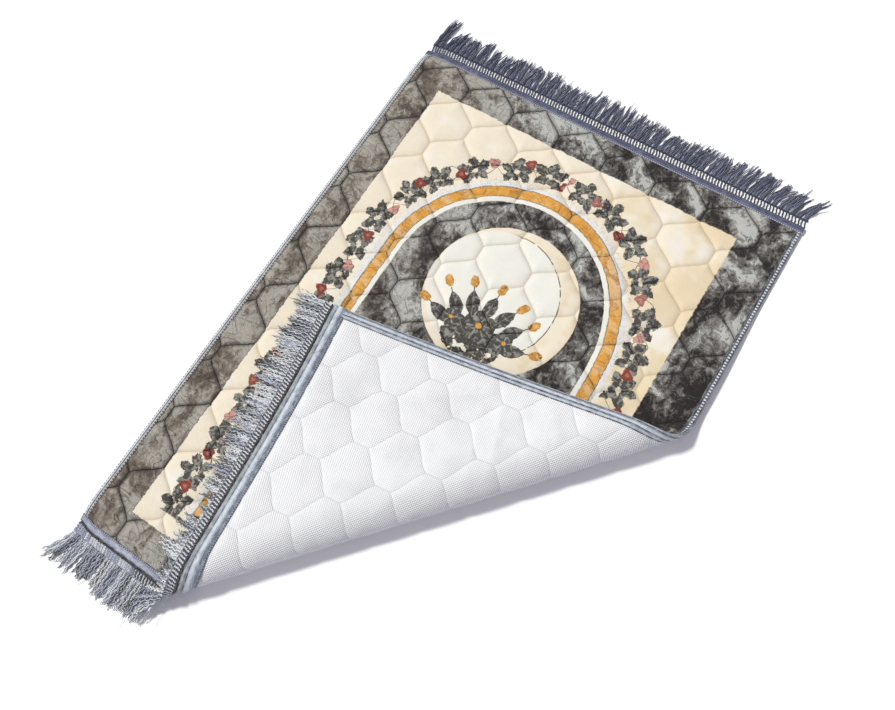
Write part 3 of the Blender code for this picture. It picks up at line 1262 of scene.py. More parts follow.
@dataclass(frozen=True)
class PlushPrint:
    """Short printed plush: charcoal border, cream field, niche, garland, disc and spray."""

    field_x: Pair = (0.077, 0.708)
    field_y: Pair = (0.0666, 1.0266)
    field_edge: float = 1.6 * PRINT_EDGE
    streak: float = 0.42
    wobble: Noise = Noise(130.0, 3.0, 0.6)
    wobble_size: float = 0.0050
    ragged: Noise = Noise(78.0, 4.0, 0.70)
    ragged_size: float = 0.030
    niche_uneven: float = 0.6
    frayed: Pair = (0.9, 0.20)
    dark: Ramp = Ramp(0.55, 0.25)
    thread: Pair = (0.0008, 0.0008)
    thread_share: Pair = (0.72, 0.20)
    # Painted shade in the seam valleys: its reach from the seam and strength, and its share on light
    # print.
    pressed: Ramp = Ramp(0.0055, 0.0, 0.40)
    valley_shade_on_light_print: float = 0.55
    crumple: Noise = Noise(30.0, 2.0, 0.5, 1.6)
    crumple_line: Triple = (0.5, 0.0, 0.045)
    crumple_share: float = 0.6
    ruffle: Noise = Noise(55.0, 3.0, 0.6)
    ruffle_share: Pair = (0.75, 0.25)
    ruffle_relief: Relief = Relief(0.0070, 0.9)
    grain: Noise = Noise(900.0, 2.0, 0.7)
    grain_relief: Relief = Relief(0.0007, 0.8)

    def material(self) -> bpy.types.Material:
        """Makes the finished material."""
        graph = Graph("printed_plush")
        x, y, _ = graph.attribute("cloth")
        seam = graph.number("seam")
        place = graph.vector(x, y)
        streak = graph.vector(x * self.streak, y)
        wobble = graph.swing(place, self.wobble, self.wobble_size)
        ragged = graph.swing(place, self.ragged, self.ragged_size)
        crushed = CrushedPile().dyed(graph, x, y, seam)
        dye = CreamPile().dyed(graph, place, x)
        niche = Niche()
        strip = niche.strip(graph, x, y)
        face = Face(graph, dye, crushed, place, x, y, strip, wobble, ragged)
        niche.lay(face, strip + wobble * self.niche_uneven)
        Garland().lay(face)
        Disc().lay(face)
        Spray().lay(face)
        frayed = wobble * self.frayed[0] + ragged * self.frayed[1]
        inside = (x + frayed).between(*self.field_x, self.field_edge)
        inside = inside * (y - frayed).between(*self.field_y, self.field_edge)
        dye.over(inside.flipped(), crushed)
        dark = Field(graph, graph.node("RGBToBW", Color=dye.value).outputs[0]).ramp(self.dark)
        self.stitch(dye, seam, dark)
        dye.finish()
        graph.set(Roughness=0.92, Sheen_Weight=0.12, Sheen_Roughness=0.45, Specular_IOR_Level=0.25)
        self.raise_pile(graph, place, streak, dark)
        return graph.material

    def stitch(self, dye: Dye, seam: Field, dark: Field) -> None:
        """Dyes the quilting thread and paints shade in the seam valley beside it.

        Args:
            dye: The face's dyes.
            seam: Distance from the nearest seam.
            dark: 1 on dark print and 0 on light print.
        """
        scale, least = self.thread_share
        dye.over(seam.below(*self.thread) * (dark * scale + least), INKS.thread)
        # Painted shade in the seam valley beside the thread, on dark print and on light print.
        beside = seam.ramp(self.pressed)
        dye.over(beside * dark, INKS.valley_shade_on_dark_print)
        dye.over(beside * dark.flipped() * self.valley_shade_on_light_print, INKS.valley_shade_on_light_print)

    def raise_pile(self, graph: Graph, place: Socket, streak: Socket, dark: Field) -> None:
        """Raises the pile's brushed ruffles, deeper where the print is dark, and its grain.

        Args:
            graph: The print's graph.
            place: Cloth coordinates.
            streak: Cloth coordinates drawn out across the rug.
            dark: 1 on dark print and 0 on light print.
        """
        crumple = graph.noise(streak, self.crumple).line(*self.crumple_line) * dark
        scale, least = self.ruffle_share
        ruffles = graph.noise(streak, self.ruffle) * (dark * scale + least)
        graph.bump(ruffles - crumple * self.crumple_share, self.ruffle_relief)
        graph.bump(graph.noise(place, self.grain), self.grain_relief)


@dataclass(frozen=True)
class NonSlipCloth:
    """White backing cloth with a fine net of raised dots."""

    white: Colour = (266, 266, 268)
    # Painted shade between the dots and in the seam channels, also the grey of the cloth's clouds.
    shade: Colour = (206, 206, 217)
    # Painted shade deep in the hollows between the dots.
    hollow_shade: Colour = (128, 128, 138)
    pitch: float = 0.0040
    drift: Noise = Noise(30.0)
    drift_size: float = 0.0012
    between_dots: Ramp = Ramp(0.15, -0.65)
    between_share: Pair = (0.10, 0.20)
    deep: Ramp = Ramp(-0.20, -0.60)
    hollow_shade_in_bend: float = 0.85
    plain: Noise = Noise(8.0, 2.0)
    plain_share: Ramp = Ramp(0.50, 0.66, 0.40)
    clouds: Noise = Noise(14.0, 3.0)
    cloudy: Ramp = Ramp(0.50, 0.75, 0.16)
    beside_seam: Ramp = Ramp(0.0016, 0.0004, 0.30)
    puckers: Noise = Noise(60.0, 3.0)
    pucker_relief: Relief = Relief(0.0009, 0.5)
    dot_relief: Relief = Relief(0.00070, 1.0)
    fibres: Noise = Noise(1500.0)
    fibre_relief: Relief = Relief(0.0002, 0.6)

    def material(self) -> bpy.types.Material:
        """Makes the finished material."""
        graph = Graph("white_non_slip_cloth")
        x, y, _ = graph.attribute("cloth")
        seam = graph.number("seam")
        place = graph.vector(x, y)
        drift = graph.swing(place, self.drift, self.drift_size)
        dots = (x + drift).wave(self.pitch) * (y + drift).wave(self.pitch)
        dye = Dye(graph, self.white)
        bent = graph.number("bent")
        scale, least = self.between_share
        # Painted shade between the raised dots, deeper where the cloth is bent.
        dye.over(dots.ramp(self.between_dots) * (bent * scale + least), self.shade)
        # Painted shade in the hollows between the dots, deep in the bend and in random patches.
        plain = graph.noise(place, self.plain).ramp(self.plain_share)
        hollow_shade = (bent * self.hollow_shade_in_bend).math("MAXIMUM", plain)
        dye.over(dots.ramp(self.deep) * hollow_shade, self.hollow_shade)
        # Grey clouds in the cloth's own tone.
        dye.over(graph.noise(place, self.clouds).ramp(self.cloudy), self.shade)
        # Painted shade in the seam channels.
        dye.over(seam.ramp(self.beside_seam), self.shade)
        dye.finish()
        graph.set(Roughness=0.78, Sheen_Weight=0.10, Sheen_Roughness=0.5, Specular_IOR_Level=0.35)
        graph.bump(graph.noise(place, self.puckers), self.pucker_relief)
        graph.bump(dots, self.dot_relief)
        graph.bump(graph.noise(place, self.fibres), self.fibre_relief)
        return graph.material


@dataclass(frozen=True)
class SatinTape:
    """Woven tape with satin stripes and cross ribs, its stripes given across it.

    Each stripe has the distance where it starts, measured round the tape from its edge
    on the back, and its colour. Each row of stitches has where it starts and ends and
    its two colours.
    """

    name: str = "satin_tape"
    # On the back, the palest stripe mid satin band is partly a painted highlight along its padded
    # ridge; the dark stripes from 0.0262 to 0.0335 round the outer wall are painted shade of the gap
    # beside the heading.
    stripes: tuple[tuple[float, Colour], ...] = (
        (0.0000, (70, 78, 94)), (0.0030, (124, 134, 152)), (0.0085, (176, 186, 200)),
        (0.0115, (214, 221, 230)), (0.0165, (172, 182, 194)), (0.0185, (54, 60, 74)),
        (0.0200, (150, 160, 164)), (0.0262, (60, 64, 80)), (0.0310, (46, 49, 64)),
        (0.0335, (108, 112, 132)), (0.0345, (166, 169, 190)), (0.0425, (70, 72, 92)),
    )
    stitches: tuple[tuple[float, float, Colour, Colour], ...] = (
        (0.0002, 0.0022, (44, 48, 60), (150, 158, 172)),
        (0.0428, 0.0450, (46, 48, 62), (168, 170, 186)),
    )
    stitch: float = 0.0042
    stitch_soft: float = 0.5
    stitch_edge: float = 0.0006
    stitch_share: float = 0.85
    # Colours of the painted highlight and the painted shade of the satin.
    glint: Colour = (214, 220, 230)
    satin_shade: Colour = (52, 58, 74)
    drawn: float = 0.12
    waver: Noise = Noise(60.0)
    waver_size: float = 0.0012
    stripe_edge: float = 0.0008
    streak: Noise = Noise(800.0, 3.0, 0.65)
    streak_glint: Ramp = Ramp(0.50, 0.62, 0.42)
    streak_shade: Ramp = Ramp(0.49, 0.38, 0.42)
    patch: Noise = Noise(60.0, 4.0, 0.65)
    patch_glint: Ramp = Ramp(0.51, 0.62, 0.28)
    patch_shade: Ramp = Ramp(0.48, 0.38, 0.28)
    rib: float = 0.0016
    rib_relief: Relief = Relief(0.00025, 0.5)
    streak_relief: Relief = Relief(0.0004, 0.8)

    def material(self) -> bpy.types.Material:
        """Makes the finished material."""
        graph = Graph(self.name)
        along, across, _ = graph.attribute("tape")
        place = graph.vector(along, across)
        drawn = graph.vector(along * self.drawn, across)
        dye = Dye(graph, self.stripes[0][1])
        across = across + graph.swing(graph.vector(along, 0.0), self.waver, self.waver_size)
        for start, colour in self.stripes[1:]:
            dye.over(across.above(start, self.stripe_edge), colour)
        streaks = graph.noise(drawn, self.streak)
        patches = graph.noise(place, self.patch)
        # Painted highlights and painted shade of the satin, in fine streaks and broad patches.
        for noise, glint, satin_shade in (
            (streaks, self.streak_glint, self.streak_shade),
            (patches, self.patch_glint, self.patch_shade),
        ):
            dye.over(noise.ramp(glint), self.glint)
            dye.over(noise.ramp(satin_shade), self.satin_shade)
        dash = along.wave(self.stitch)
        for start, end, first, second in self.stitches:
            row = across.between(start, end, self.stitch_edge)
            dye.over(row * dash.above(0.0, self.stitch_soft) * self.stitch_share, first)
            dye.over(row * dash.below(0.0, self.stitch_soft) * self.stitch_share, second)
        dye.finish()
        graph.set(Roughness=0.42, Sheen_Weight=0.15, Specular_IOR_Level=0.5, Anisotropic=0.4)
        graph.bump(along.wave(self.rib), self.rib_relief)
        graph.bump(streaks, self.streak_relief)
        return graph.material


@dataclass(frozen=True)
class TwistedCord:
    """Rayon cord twisted from plies, lighter or darker from strand to strand."""

    name: str
    base: Colour
    light: Colour
    dark: Colour
    twist: float = 0.0032
    # share of painted shade in the grooves between the plies
    depth: float = 0.5
    plies: float = 2.0
    pale_strand: Ramp = Ramp(0.50, 1.00)
    dark_strand: Ramp = Ramp(0.45, 0.00)
    groove_shade: Pair = (-0.2, -0.95)
    ridge_highlight: Ramp = Ramp(0.3, 1.0, 0.30)
    relief: Relief = Relief(0.00035, 0.9)

    def material(self) -> bpy.types.Material:
        """Makes the finished material."""
        graph = Graph(self.name)
        along, around, tone = graph.attribute("strand")
        dye = Dye(graph, self.base)
        dye.over(tone.ramp(self.pale_strand), self.light)
        dye.over(tone.ramp(self.dark_strand), self.dark)
        turned = along * (FULL_TURN / self.twist) + around * FULL_TURN * self.plies
        # Painted shade in the grooves between the plies and painted highlights on their crests.
        ply = turned.math("SINE")
        dye.over(ply.ramp(Ramp(*self.groove_shade, self.depth)), self.dark)
        dye.over(ply.ramp(self.ridge_highlight), self.light)
        dye.finish()
        graph.set(Roughness=0.45, Sheen_Weight=0.20, Specular_IOR_Level=0.5)
        graph.bump(ply, self.relief)
        return graph.material


@dataclass(frozen=True)
class PaleFloor:
    """A plain pale studio floor, very slightly mottled."""

    base: Colour = (274, 274, 275)
    mottle: Colour = (271, 271, 273)
    clouds: Noise = Noise(6.0, 3.0)
    mottled: Ramp = Ramp(0.4, 0.7, 0.6)

    def material(self) -> bpy.types.Material:
        """Makes the finished material."""
        graph = Graph("pale_floor")
        place = graph.node("TexCoord").outputs["Object"]
        dye = Dye(graph, self.base)
        dye.over(graph.noise(place, self.clouds).ramp(self.mottled), self.mottle)
        dye.finish()
        graph.set(Roughness=0.75, Specular_IOR_Level=0.2)
        return graph.material


# Dressing.


Finish = Union[PlushPrint, NonSlipCloth, SatinTape, TwistedCord]


def dress_piece(piece: Piece, finish: Finish, node: Optional[str] = None) -> None:
    """Gives a piece its finish and its place in the frame.

    Args:
        piece: The piece.
        finish: Its finish.
        node: The solid that it stands for, if there is one.
    """
    piece.data.materials.append(finish.material())
    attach(piece, "root")
    if node is not None:
        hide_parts(node)


# The quilted layers.


MARK = 10.0  # lifts a layer's upper side clear, so that it is told from the lower


def ripple(points: Array, wave: Triple) -> Array:
    """A sine wave over cloth points, from its turns along x and along y and its start."""
    return np.sin(points[:, 0] * wave[0] + points[:, 1] * wave[1] + wave[2])


@dataclass(frozen=True)
class QuiltNet:
    """The net of seams: pointed six-sided cells whose slanted seams curve softly."""

    pitch: float = 0.1022
    row: float = 0.0672
    upright: float = 0.0280
    x: float = 0.1270
    y: float = 1.0410
    columns: int = 11
    columns_left: int = 3
    rows: int = 20
    rows_beyond: int = 2
    upright_steps: int = 4
    slant_steps: int = 7
    soft: float = 0.42
    inset: float = 5 * MERGE  # a slight first inset, before a ring is scaled to its share
    drift: tuple[tuple[float, Triple], ...] = ((0.0022, (11.0, 17.0, 0.0)), (0.0016, (19.0, -8.0, 1.0)))
    reach: float = 0.045  # from a seam to the middle of a cell
    rise: float = 0.012  # from the tapes to full quilting
    sharp: float = 60.0  # edges sharper than this, in degrees, aren't shaded smooth

    def outline(self) -> list[Pair]:
        """Points of the seam round a cell, anticlockwise from its right side."""
        half, low, tip = self.pitch / 2, self.upright / 2, self.row - self.upright / 2
        half_steps = self.upright_steps // 2
        quarter = [(half, low * k / half_steps) for k in range(half_steps)]
        for k in range(self.slant_steps):
            share = k / self.slant_steps
            eased = (1 - self.soft) * share + self.soft * share * share * (3 - 2 * share)
            quarter.append((half * (1 - eased), low + (tip - low) * share))
        upper = quarter + [(0.0, tip)] + [(-x, y) for x, y in reversed(quarter[1:])]
        return upper + [(-x, -y) for x, y in upper]

    def model_cell(self, rings: Sequence[float]) -> Piece:
        """Models one cell, with each point's share of the way in kept as its height.

        Args:
            rings: Shares of the way from the seam to the cell's middle.

        Returns:
            The cell, about its middle.
        """
        outline = self.outline()
        bpy.ops.mesh.primitive_circle_add(
            vertices=len(outline), radius=self.pitch / 2, fill_type="NGON", location=(0, 0, 0)
        )
        cell = bpy.context.active_object
        for vert, (x, y) in zip(cell.data.vertices, outline):
            vert.co = (x, y, 0.0)
        edit(cell)
        bpy.ops.mesh.select_mode(type="FACE")
        last = 0.0
        for ring in rings:
            bpy.ops.mesh.inset(thickness=self.inset, use_boundary=True)
            scale = (1 - ring) / (1 - last)
            bpy.ops.transform.resize(value=(scale, scale, 1.0), center_override=(0, 0, 0))
            bpy.ops.transform.translate(value=(0, 0, ring - last))
            last = ring
        bpy.ops.mesh.poke()
        leave_edit()
        for vert in cell.data.vertices:
            if math.hypot(vert.co.x, vert.co.y) < MERGE:
                vert.co = (0.0, 0.0, 1.0)
        return cell

    def spread(self, cell: Piece) -> Piece:
        """Copies the cell over the whole net, row by row, and merges the seams.

        Args:
            cell: The cell, about its middle.

        Returns:
            The net.
        """
        other = cell.copy()
        other.data = cell.data.copy()
        link(other)
        left = self.x - self.columns_left * self.pitch
        near = self.y - (self.rows - self.rows_beyond) * self.row
        places = (left + self.pitch / 2, near, 0.0), (left, near + self.row, 0.0)
        repeats = (self.columns, (self.pitch, 0, 0)), (self.rows // 2, (0, 2 * self.row, 0))
        for piece, place in zip((cell, other), places):
            write_points(piece, read_points(piece) + np.array(place))
            for count, offset in repeats:
                array = piece.modifiers.new("repeat", "ARRAY")
                array.count = count
                array.use_relative_offset = False
                array.use_constant_offset = True
                array.constant_offset_displace = offset
            apply_modifiers(piece)
        net = join(cell, other)
        edit(net)
        bpy.ops.mesh.remove_doubles(threshold=MERGE)
        leave_edit()
        return net

    def cut_to_size(self, net: Piece) -> None:
        """Cuts the net to the outline of the layers under the tapes.

        Args:
            net: The net.
        """
        edit(net)
        for point, normal in (
            ((SIZE.inset, 0, 0), (-1, 0, 0)),
            ((SIZE.width - SIZE.inset, 0, 0), (1, 0, 0)),
            ((0, SIZE.inset, 0), (0, -1, 0)),
            ((0, SIZE.length - SIZE.inset, 0), (0, 1, 0)),
        ):
            bpy.ops.mesh.select_all(action="SELECT")
            bpy.ops.mesh.bisect(
                plane_co=point, plane_no=normal, clear_outer=True, use_fill=False, threshold=MERGE
            )
        leave_edit()

    def slab(self, rings: Sequence[float]) -> tuple[Piece, Array, Array]:
        """Models a whole quilted layer, flat, and extrudes it into a closed slab.

        Args:
            rings: Shares of the way from a seam to a cell's middle.

        Returns:
            The layer, its points with their share of the way in as their height, and a
            mask of the upper ones.
        """
        net = self.spread(self.model_cell(rings))
        points = read_points(net)
        points[:, :2] += np.column_stack([size * ripple(points, wave) for size, wave in self.drift])
        write_points(net, points)
        self.cut_to_size(net)
        edit(net)
        extrude_up(MARK)
        face_outwards()
        leave_edit()
        points = read_points(net)
        upper = points[:, 2] > MARK / 2
        points[upper, 2] -= MARK
        return net, points, upper

    def quilted(self, points: Array, side: float, end: float) -> Array:
        """0 under the tapes, rising to 1 in the quilting.

        Args:
            points: Cloth points.
            side: Width of the side bindings on this face.
            end: Width of the end tapes on this face.

        Returns:
            One value for each point.
        """
        x, y = points[:, 0], points[:, 1]
        from_side = np.minimum(x, SIZE.width - x) - side
        from_end = np.minimum(y, SIZE.length - y) - end
        return smooth_step(np.minimum(from_side, from_end) / self.rise)


NET = QuiltNet()


@dataclass(frozen=True)
class Pad:
    """Plush face and wadding in one, raised between the quilting seams."""

    finish: PlushPrint = PlushPrint()
    rings: tuple[float, ...] = (0.018, 0.045, 0.09, 0.16, 0.26, 0.40, 0.60, 0.80)
    sunk: float = 0.0006
    steep: float = 0.0055
    steep_share: float = 0.72
    dents: tuple[tuple[float, Triple, Triple], ...] = (
        (0.00042, (61.0, 23.0, 0.0), (-31.0, 47.0, 1.3)),
        (0.000252, (118.0, -64.0, 0.4), (41.0, 97.0, 0.0)),
    )
    dent_rise: float = 0.3
    pucker: float = 0.00022
    pucker_turns: Pair = (410.0, 280.0)
    pucker_sway: Pair = (3.0, 33.0)
    pucker_from: float = 0.13
    pucker_reach: float = 0.10
    fill: float = 0.45

    def ruffles(self, points: Array) -> Array:
        """Small uneven dents of the wadding, and puckers drawn in by the seams.

        Args:
            points: Cloth points with their share of the way in as their height.

        Returns:
            The height of dents and puckers at each.
        """
        x, y, share = points.T
        dents = sum(size * ripple(points, one) * ripple(points, two) for size, one, two in self.dents)
        sway = self.pucker_sway[0] * np.sin(self.pucker_sway[1] * y)
        puckers = np.sin(self.pucker_turns[0] * x + self.pucker_turns[1] * y + sway)
        beside_seam = np.exp(-(((share - self.pucker_from) / self.pucker_reach) ** 2))
        return dents * smooth_step(share / self.dent_rise) + self.pucker * puckers * beside_seam

    def top(self, points: Array) -> Array:
        """Height of the pad's face over cloth points that hold their share of the way in.

        Args:
            points: The points.

        Returns:
            One height for each.
        """
        share = points[:, 2]
        steep = 1 - np.exp(-share * NET.reach / self.steep)
        puff = self.steep_share * steep + (1 - self.steep_share) * (1 - (1 - share) ** 2)
        raised = SIZE.seam_top - self.sunk + puff * (SIZE.crown_top - SIZE.seam_top)
        raised = raised + self.ruffles(points) - SIZE.edge_top
        return SIZE.edge_top + raised * NET.quilted(points, SIZE.side_face, SIZE.end_face)

    def build(self) -> Piece:
        """Models the pad and lays it over the fold.

        Returns:
            The pad.
        """
        piece, points, upper = NET.slab(self.rings)
        piece.name = "pad_plush"
        write_attribute(piece, "seam", np.where(upper, points[:, 2], 1.0) * NET.reach)
        points[:, 2] = np.where(upper, self.top(points), SIZE.back_top + SIZE.gap)
        lay_down(piece, points)
        smooth_faces(piece, NET.sharp)
        return piece

    def dress(self, piece: Piece) -> None:
        """Gives the pad its finish and its place in the frame."""
        dress_piece(piece, self.finish, "pad")


@dataclass(frozen=True)
class Backing:
    """White cloth under the wadding, drawn in along the same seams."""

    finish: NonSlipCloth = NonSlipCloth()
    rings: tuple[float, ...] = (0.02, 0.06, 0.14, 0.30, 0.52, 0.76)
    channel: float = 0.0012
    channel_reach: float = 0.0035
    free_puff: float = 0.0026
    pressed: float = 0.6
    thick: float = 0.0012
    creases: tuple[tuple[float, float, float, float, float, float], ...] = (
        # from x, from y, to x, to y, height, half width
        (0.764, 0.365, 0.618, 0.028, 0.0024, 0.0065),
        (0.565, 0.352, 0.792, 0.318, 0.0015, 0.0050),
        (0.600, 0.378, 0.780, 0.352, 0.0012, 0.0045),
        (0.470, 0.215, 0.590, 0.300, 0.0012, 0.0075),
        (0.690, 0.470, 0.785, 0.420, 0.0011, 0.0060),
    )
    crease_sway: Pair = (0.004, 31.0)
    crease_fade: float = 0.03

    def crease_height(self, points: Array) -> Array:
        """Soft ridges that the flap keeps from being folded in storage.

        Args:
            points: Cloth points.

        Returns:
            Height of the ridges at each.
        """
        total = np.zeros(len(points))
        for x0, y0, x1, y1, height, width in self.creases:
            start = np.array((x0, y0))
            run = np.array((x1, y1)) - start
            length = float(np.hypot(*run))
            run = run / length
            offset = points[:, :2] - start
            along = offset @ run
            sway = self.crease_sway[0] * np.sin(along * self.crease_sway[1])
            beside = offset @ np.array((-run[1], run[0])) - sway
            fade = smooth_step(along / self.crease_fade)
            fade = fade * smooth_step((length - along) / self.crease_fade)
            total += height * fade * np.exp(-((beside / width) ** 2))
        return total

    def underside(self, points: Array) -> Array:
        """Height of the cloth's underside at points that hold their share of the way in.

        Args:
            points: The points.

        Returns:
            One height for each.
        """
        share = points[:, 2]
        puffed = self.free_puff * (1 - self.pressed * FOLD.tight(points[:, :2]))
        puffed = puffed * (1 - (1 - share) ** 2)
        swelling = (puffed + self.crease_height(points)) * FOLD.lifted(points[:, :2])
        channel = self.channel * np.exp(-share * NET.reach / self.channel_reach)
        edge_level = SIZE.tape_thick + SIZE.gap
        inner = NET.quilted(points, SIZE.side_back, SIZE.end_back)
        return edge_level + (channel - swelling - edge_level) * inner

    def build(self) -> Piece:
        """Models the backing and lays it over the fold.

        Returns:
            The backing.
        """
        piece, points, upper = NET.slab(self.rings)
        piece.name = "backing_cloth"
        write_attribute(piece, "seam", points[:, 2] * NET.reach)
        write_attribute(piece, "bent", FOLD.tight(points[:, :2]))
        bottom = self.underside(points)
        points[:, 2] = np.where(upper, np.minimum(bottom + self.thick, SIZE.back_top), bottom)
        lay_down(piece, points)
        smooth_faces(piece, NET.sharp)
        return piece

    def dress(self, piece: Piece, on_it: Sequence[Piece]) -> None:
        """Gives the backing its finish and its place in the frame.

        Args:
            piece: The backing.
            on_it: The pieces sewn on it; not used.
        """
        dress_piece(piece, self.finish, "backing")
        flat = SIZE.width - 2 * SIZE.inset, SIZE.length - 2 * SIZE.inset


# Tapes folded round the edges.


@dataclass(frozen=True)
class TapeSection:
    """Section of a tape folded round the rug's edge, with padded satin bands.

    Each band has where it starts and ends, measured inwards from the rug's edge, and how
    far it stands proud.
    """

    back: float
    face: float
    back_bands: tuple[Triple, ...]
    face_bands: tuple[Triple, ...]
    step: float = 0.0011
    turns: int = 6
    thick: float = 0.0010
    top: float = 0.0065

    def proud(self, inwards: float, bands: Sequence[Triple]) -> float:
        """How far the tape's bands stand proud at this distance from the rug's edge.

        Args:
            inwards: The distance.
            bands: The bands on this side of the tape.

        Returns:
            How far, in metres.
        """
        total = 0.0
        for start, end, height in bands:
            share = (inwards - start) / (end - start)
            if 0 < share < 1:
                total += height * math.sqrt(math.sin(math.pi * share))
        return total

    def outer(self) -> Array:
        """The tape's outer side from its edge on the back round to its edge on the face.

        Returns:
            Rows of distance inwards, height, the normal's two parts, and how far the
            tape stands proud.
        """
        radius = self.top / 2
        rows = []
        for k in range(round((self.back - radius) / self.step) + 1):
            inwards = self.back - k * self.step
            rows.append((inwards, 0.0, 0.0, -1.0, self.proud(inwards, self.back_bands)))
        for k in range(1, self.turns):
            angle = math.pi * k / self.turns
            side, up = -math.sin(angle), -math.cos(angle)
            rows.append((radius + radius * side, radius + radius * up, side, up, 0.0))
        for k in range(round((self.face - radius) / self.step) + 1):
            inwards = radius + k * self.step
            rows.append((inwards, self.top, 0.0, 1.0, self.proud(inwards, self.face_bands)))
        return np.array(rows)


@dataclass(frozen=True)
class EdgeTape:
    """A tape along one edge of the rug, laid over the fold with the cloth."""

    name: str
    node: str
    edge: Edge
    section: TapeSection
    start: float
    end: float
    finish: SatinTape
    spacing: float = 0.0045
    sharp: float = 50.0

    def build(self) -> Piece:
        """Models the tape from a flat strip wrapped into its section.

        Returns:
            The tape.
        """
        rows = self.section.outer()
        loop = 2 * len(rows)
        steps = round((self.end - self.start) / self.spacing)
        bpy.ops.mesh.primitive_grid_add(x_subdivisions=steps, y_subdivisions=loop, size=1.0)
        piece = bpy.context.active_object
        piece.name = self.name
        share, turn = read_points(piece)[:, :2].T + 0.5
        along = self.start + share * (self.end - self.start)
        row = np.rint(turn * loop).astype(int) % loop
        inside = row >= len(rows)
        number = np.where(inside, loop - 1 - row, row)
        inwards, height, side, up, proud = rows[number].T
        lengths = np.hypot(*np.diff(rows[:, :2], axis=0).T)
        across = np.concatenate(([0.0], np.cumsum(lengths)))[number]
        lifted = FOLD.lifted(from_edge(self.edge, along, inwards))
        out = proud * np.where(height > self.section.top / 2, 1.0, lifted)
        out = out - np.where(inside, self.section.thick, 0.0)
        flat = from_edge(self.edge, along, inwards + side * out)
        write_attribute(piece, "tape", np.column_stack((along, across, inside)))
        lay_down(piece, np.column_stack((flat, height + up * out)))
        self.close(piece)
        return piece

    def close(self, piece: Piece) -> None:
        """Merges the strip's two edges and fills its ends.

        Args:
            piece: The strip, laid down.
        """
        edit(piece)
        bpy.ops.mesh.remove_doubles(threshold=MERGE)
        bpy.ops.mesh.select_all(action="DESELECT")
        bpy.ops.mesh.select_mode(type="EDGE")
        bpy.ops.mesh.select_non_manifold()
        bpy.ops.mesh.fill_holes(sides=0)
        face_outwards()
        leave_edit()
        smooth_faces(piece, self.sharp)

    def dress(self, piece: Piece) -> None:
        """Gives the tape its finish and its place in the frame.

        Args:
            piece: The tape.
        """
        dress_piece(piece, self.finish, self.node)
        width = self.section.back + self.section.face + self.section.top / 2


# Cords, threads and fringes.


UP = (0.0, 0.0, 1.0)
STEEP = 1e-4  # a path with a smaller level part than this counts as upright
TAPER_POWER = 3


@dataclass(frozen=True)
class Strand:
    """One length of cord, modelled once and bent along each path."""

    sides: int
    steps: int

    def model(self) -> tuple[Array, Array]:
        """Models a straight strand of unit size.

        Returns:
            Its points (x and y round it, z along it), and its faces as rows of numbers.
        """
        bpy.ops.mesh.primitive_circle_add(vertices=self.sides, radius=1.0, fill_type="NGON")
        piece = bpy.context.active_object
        edit(piece)
        for _ in range(self.steps):
            extrude_up(1.0 / self.steps)
        face_outwards()
        bpy.ops.mesh.quads_convert_to_tris(quad_method="FIXED", ngon_method="BEAUTY")
        leave_edit()
        points = read_points(piece)
        faces = np.array([tuple(face.vertices) for face in piece.data.polygons])
        bpy.data.objects.remove(piece)
        return points, faces


@dataclass
class Run:
    """The path of one cord in the part's coordinates, with its thickness and tone."""

    path: Array
    radius: float
    tone: float
    taper: float = 1.0

    def bend(self, shape: Array, ring: Array) -> tuple[Array, Array]:
        """Bends a strand along the path.

        Args:
            shape: The straight strand's points.
            ring: Number of the path's point that each of them goes with.

        Returns:
            The bent points, and their distance along the cord.
        """
        steps = np.diff(self.path, axis=0)
        along = np.concatenate(([0.0], np.cumsum(np.linalg.norm(steps, axis=1))))
        forward = np.gradient(self.path, axis=0)
        forward /= np.linalg.norm(forward, axis=1)[:, None]
        beside = np.cross(forward, UP)
        length = np.linalg.norm(beside, axis=1)[:, None]
        beside = np.where(length > STEEP, beside / np.maximum(length, STEEP), (1.0, 0.0, 0.0))
        above = np.cross(beside, forward)
        width = self.radius * (1 - (1 - self.taper) * (along / along[-1]) ** TAPER_POWER)
        offset = beside[ring] * shape[:, :1] + above[ring] * shape[:, 1:2]
        return self.path[ring] + offset * width[ring][:, None], along[ring]


def bend_strands(name: str, strand: Strand, runs: Sequence[Run], sharp: float = 70.0) -> Piece:
    """Bends a copy of the strand along every run and joins the copies.

    Args:
        name: Name of the finished piece.
        strand: The strand to copy.
        runs: Paths with as many points as the strand has rings.
        sharp: Angle from which its edges are shaded sharp, in degrees.

    Returns:
        One object of all the strands, with its attribute "strand": distance along the
        cord, turn round it, and tone.
    """
    shape, faces = strand.model()
    ring = np.rint(shape[:, 2] * strand.steps).astype(int)
    turn = np.arctan2(shape[:, 1], shape[:, 0]) / FULL_TURN
    points, marks = [], []
    for run in runs:
        bent, along = run.bend(shape, ring)
        points.append(bent)
        marks.append(np.column_stack((along, turn, np.full(len(ring), run.tone))))
    all_faces = [faces + number * len(shape) for number in range(len(runs))]
    mesh = bpy.data.meshes.new(name)
    mesh.from_pydata(np.concatenate(points).tolist(), [], np.concatenate(all_faces).tolist())
    piece = link(bpy.data.objects.new(name, mesh))
    write_attribute(piece, "strand", np.concatenate(marks))
    smooth_faces(piece, sharp)
    return piece


@dataclass(frozen=True)
class Rail:
    """Two cords of a heading that twist round each other."""

    outwards: float
    swing: float
    radius: float
    pitch: float
    tone: float
    steps_each_twist: int = 6
    rolled: float = 0.35
    tone_swing: Pair = (0.25, 1.7)


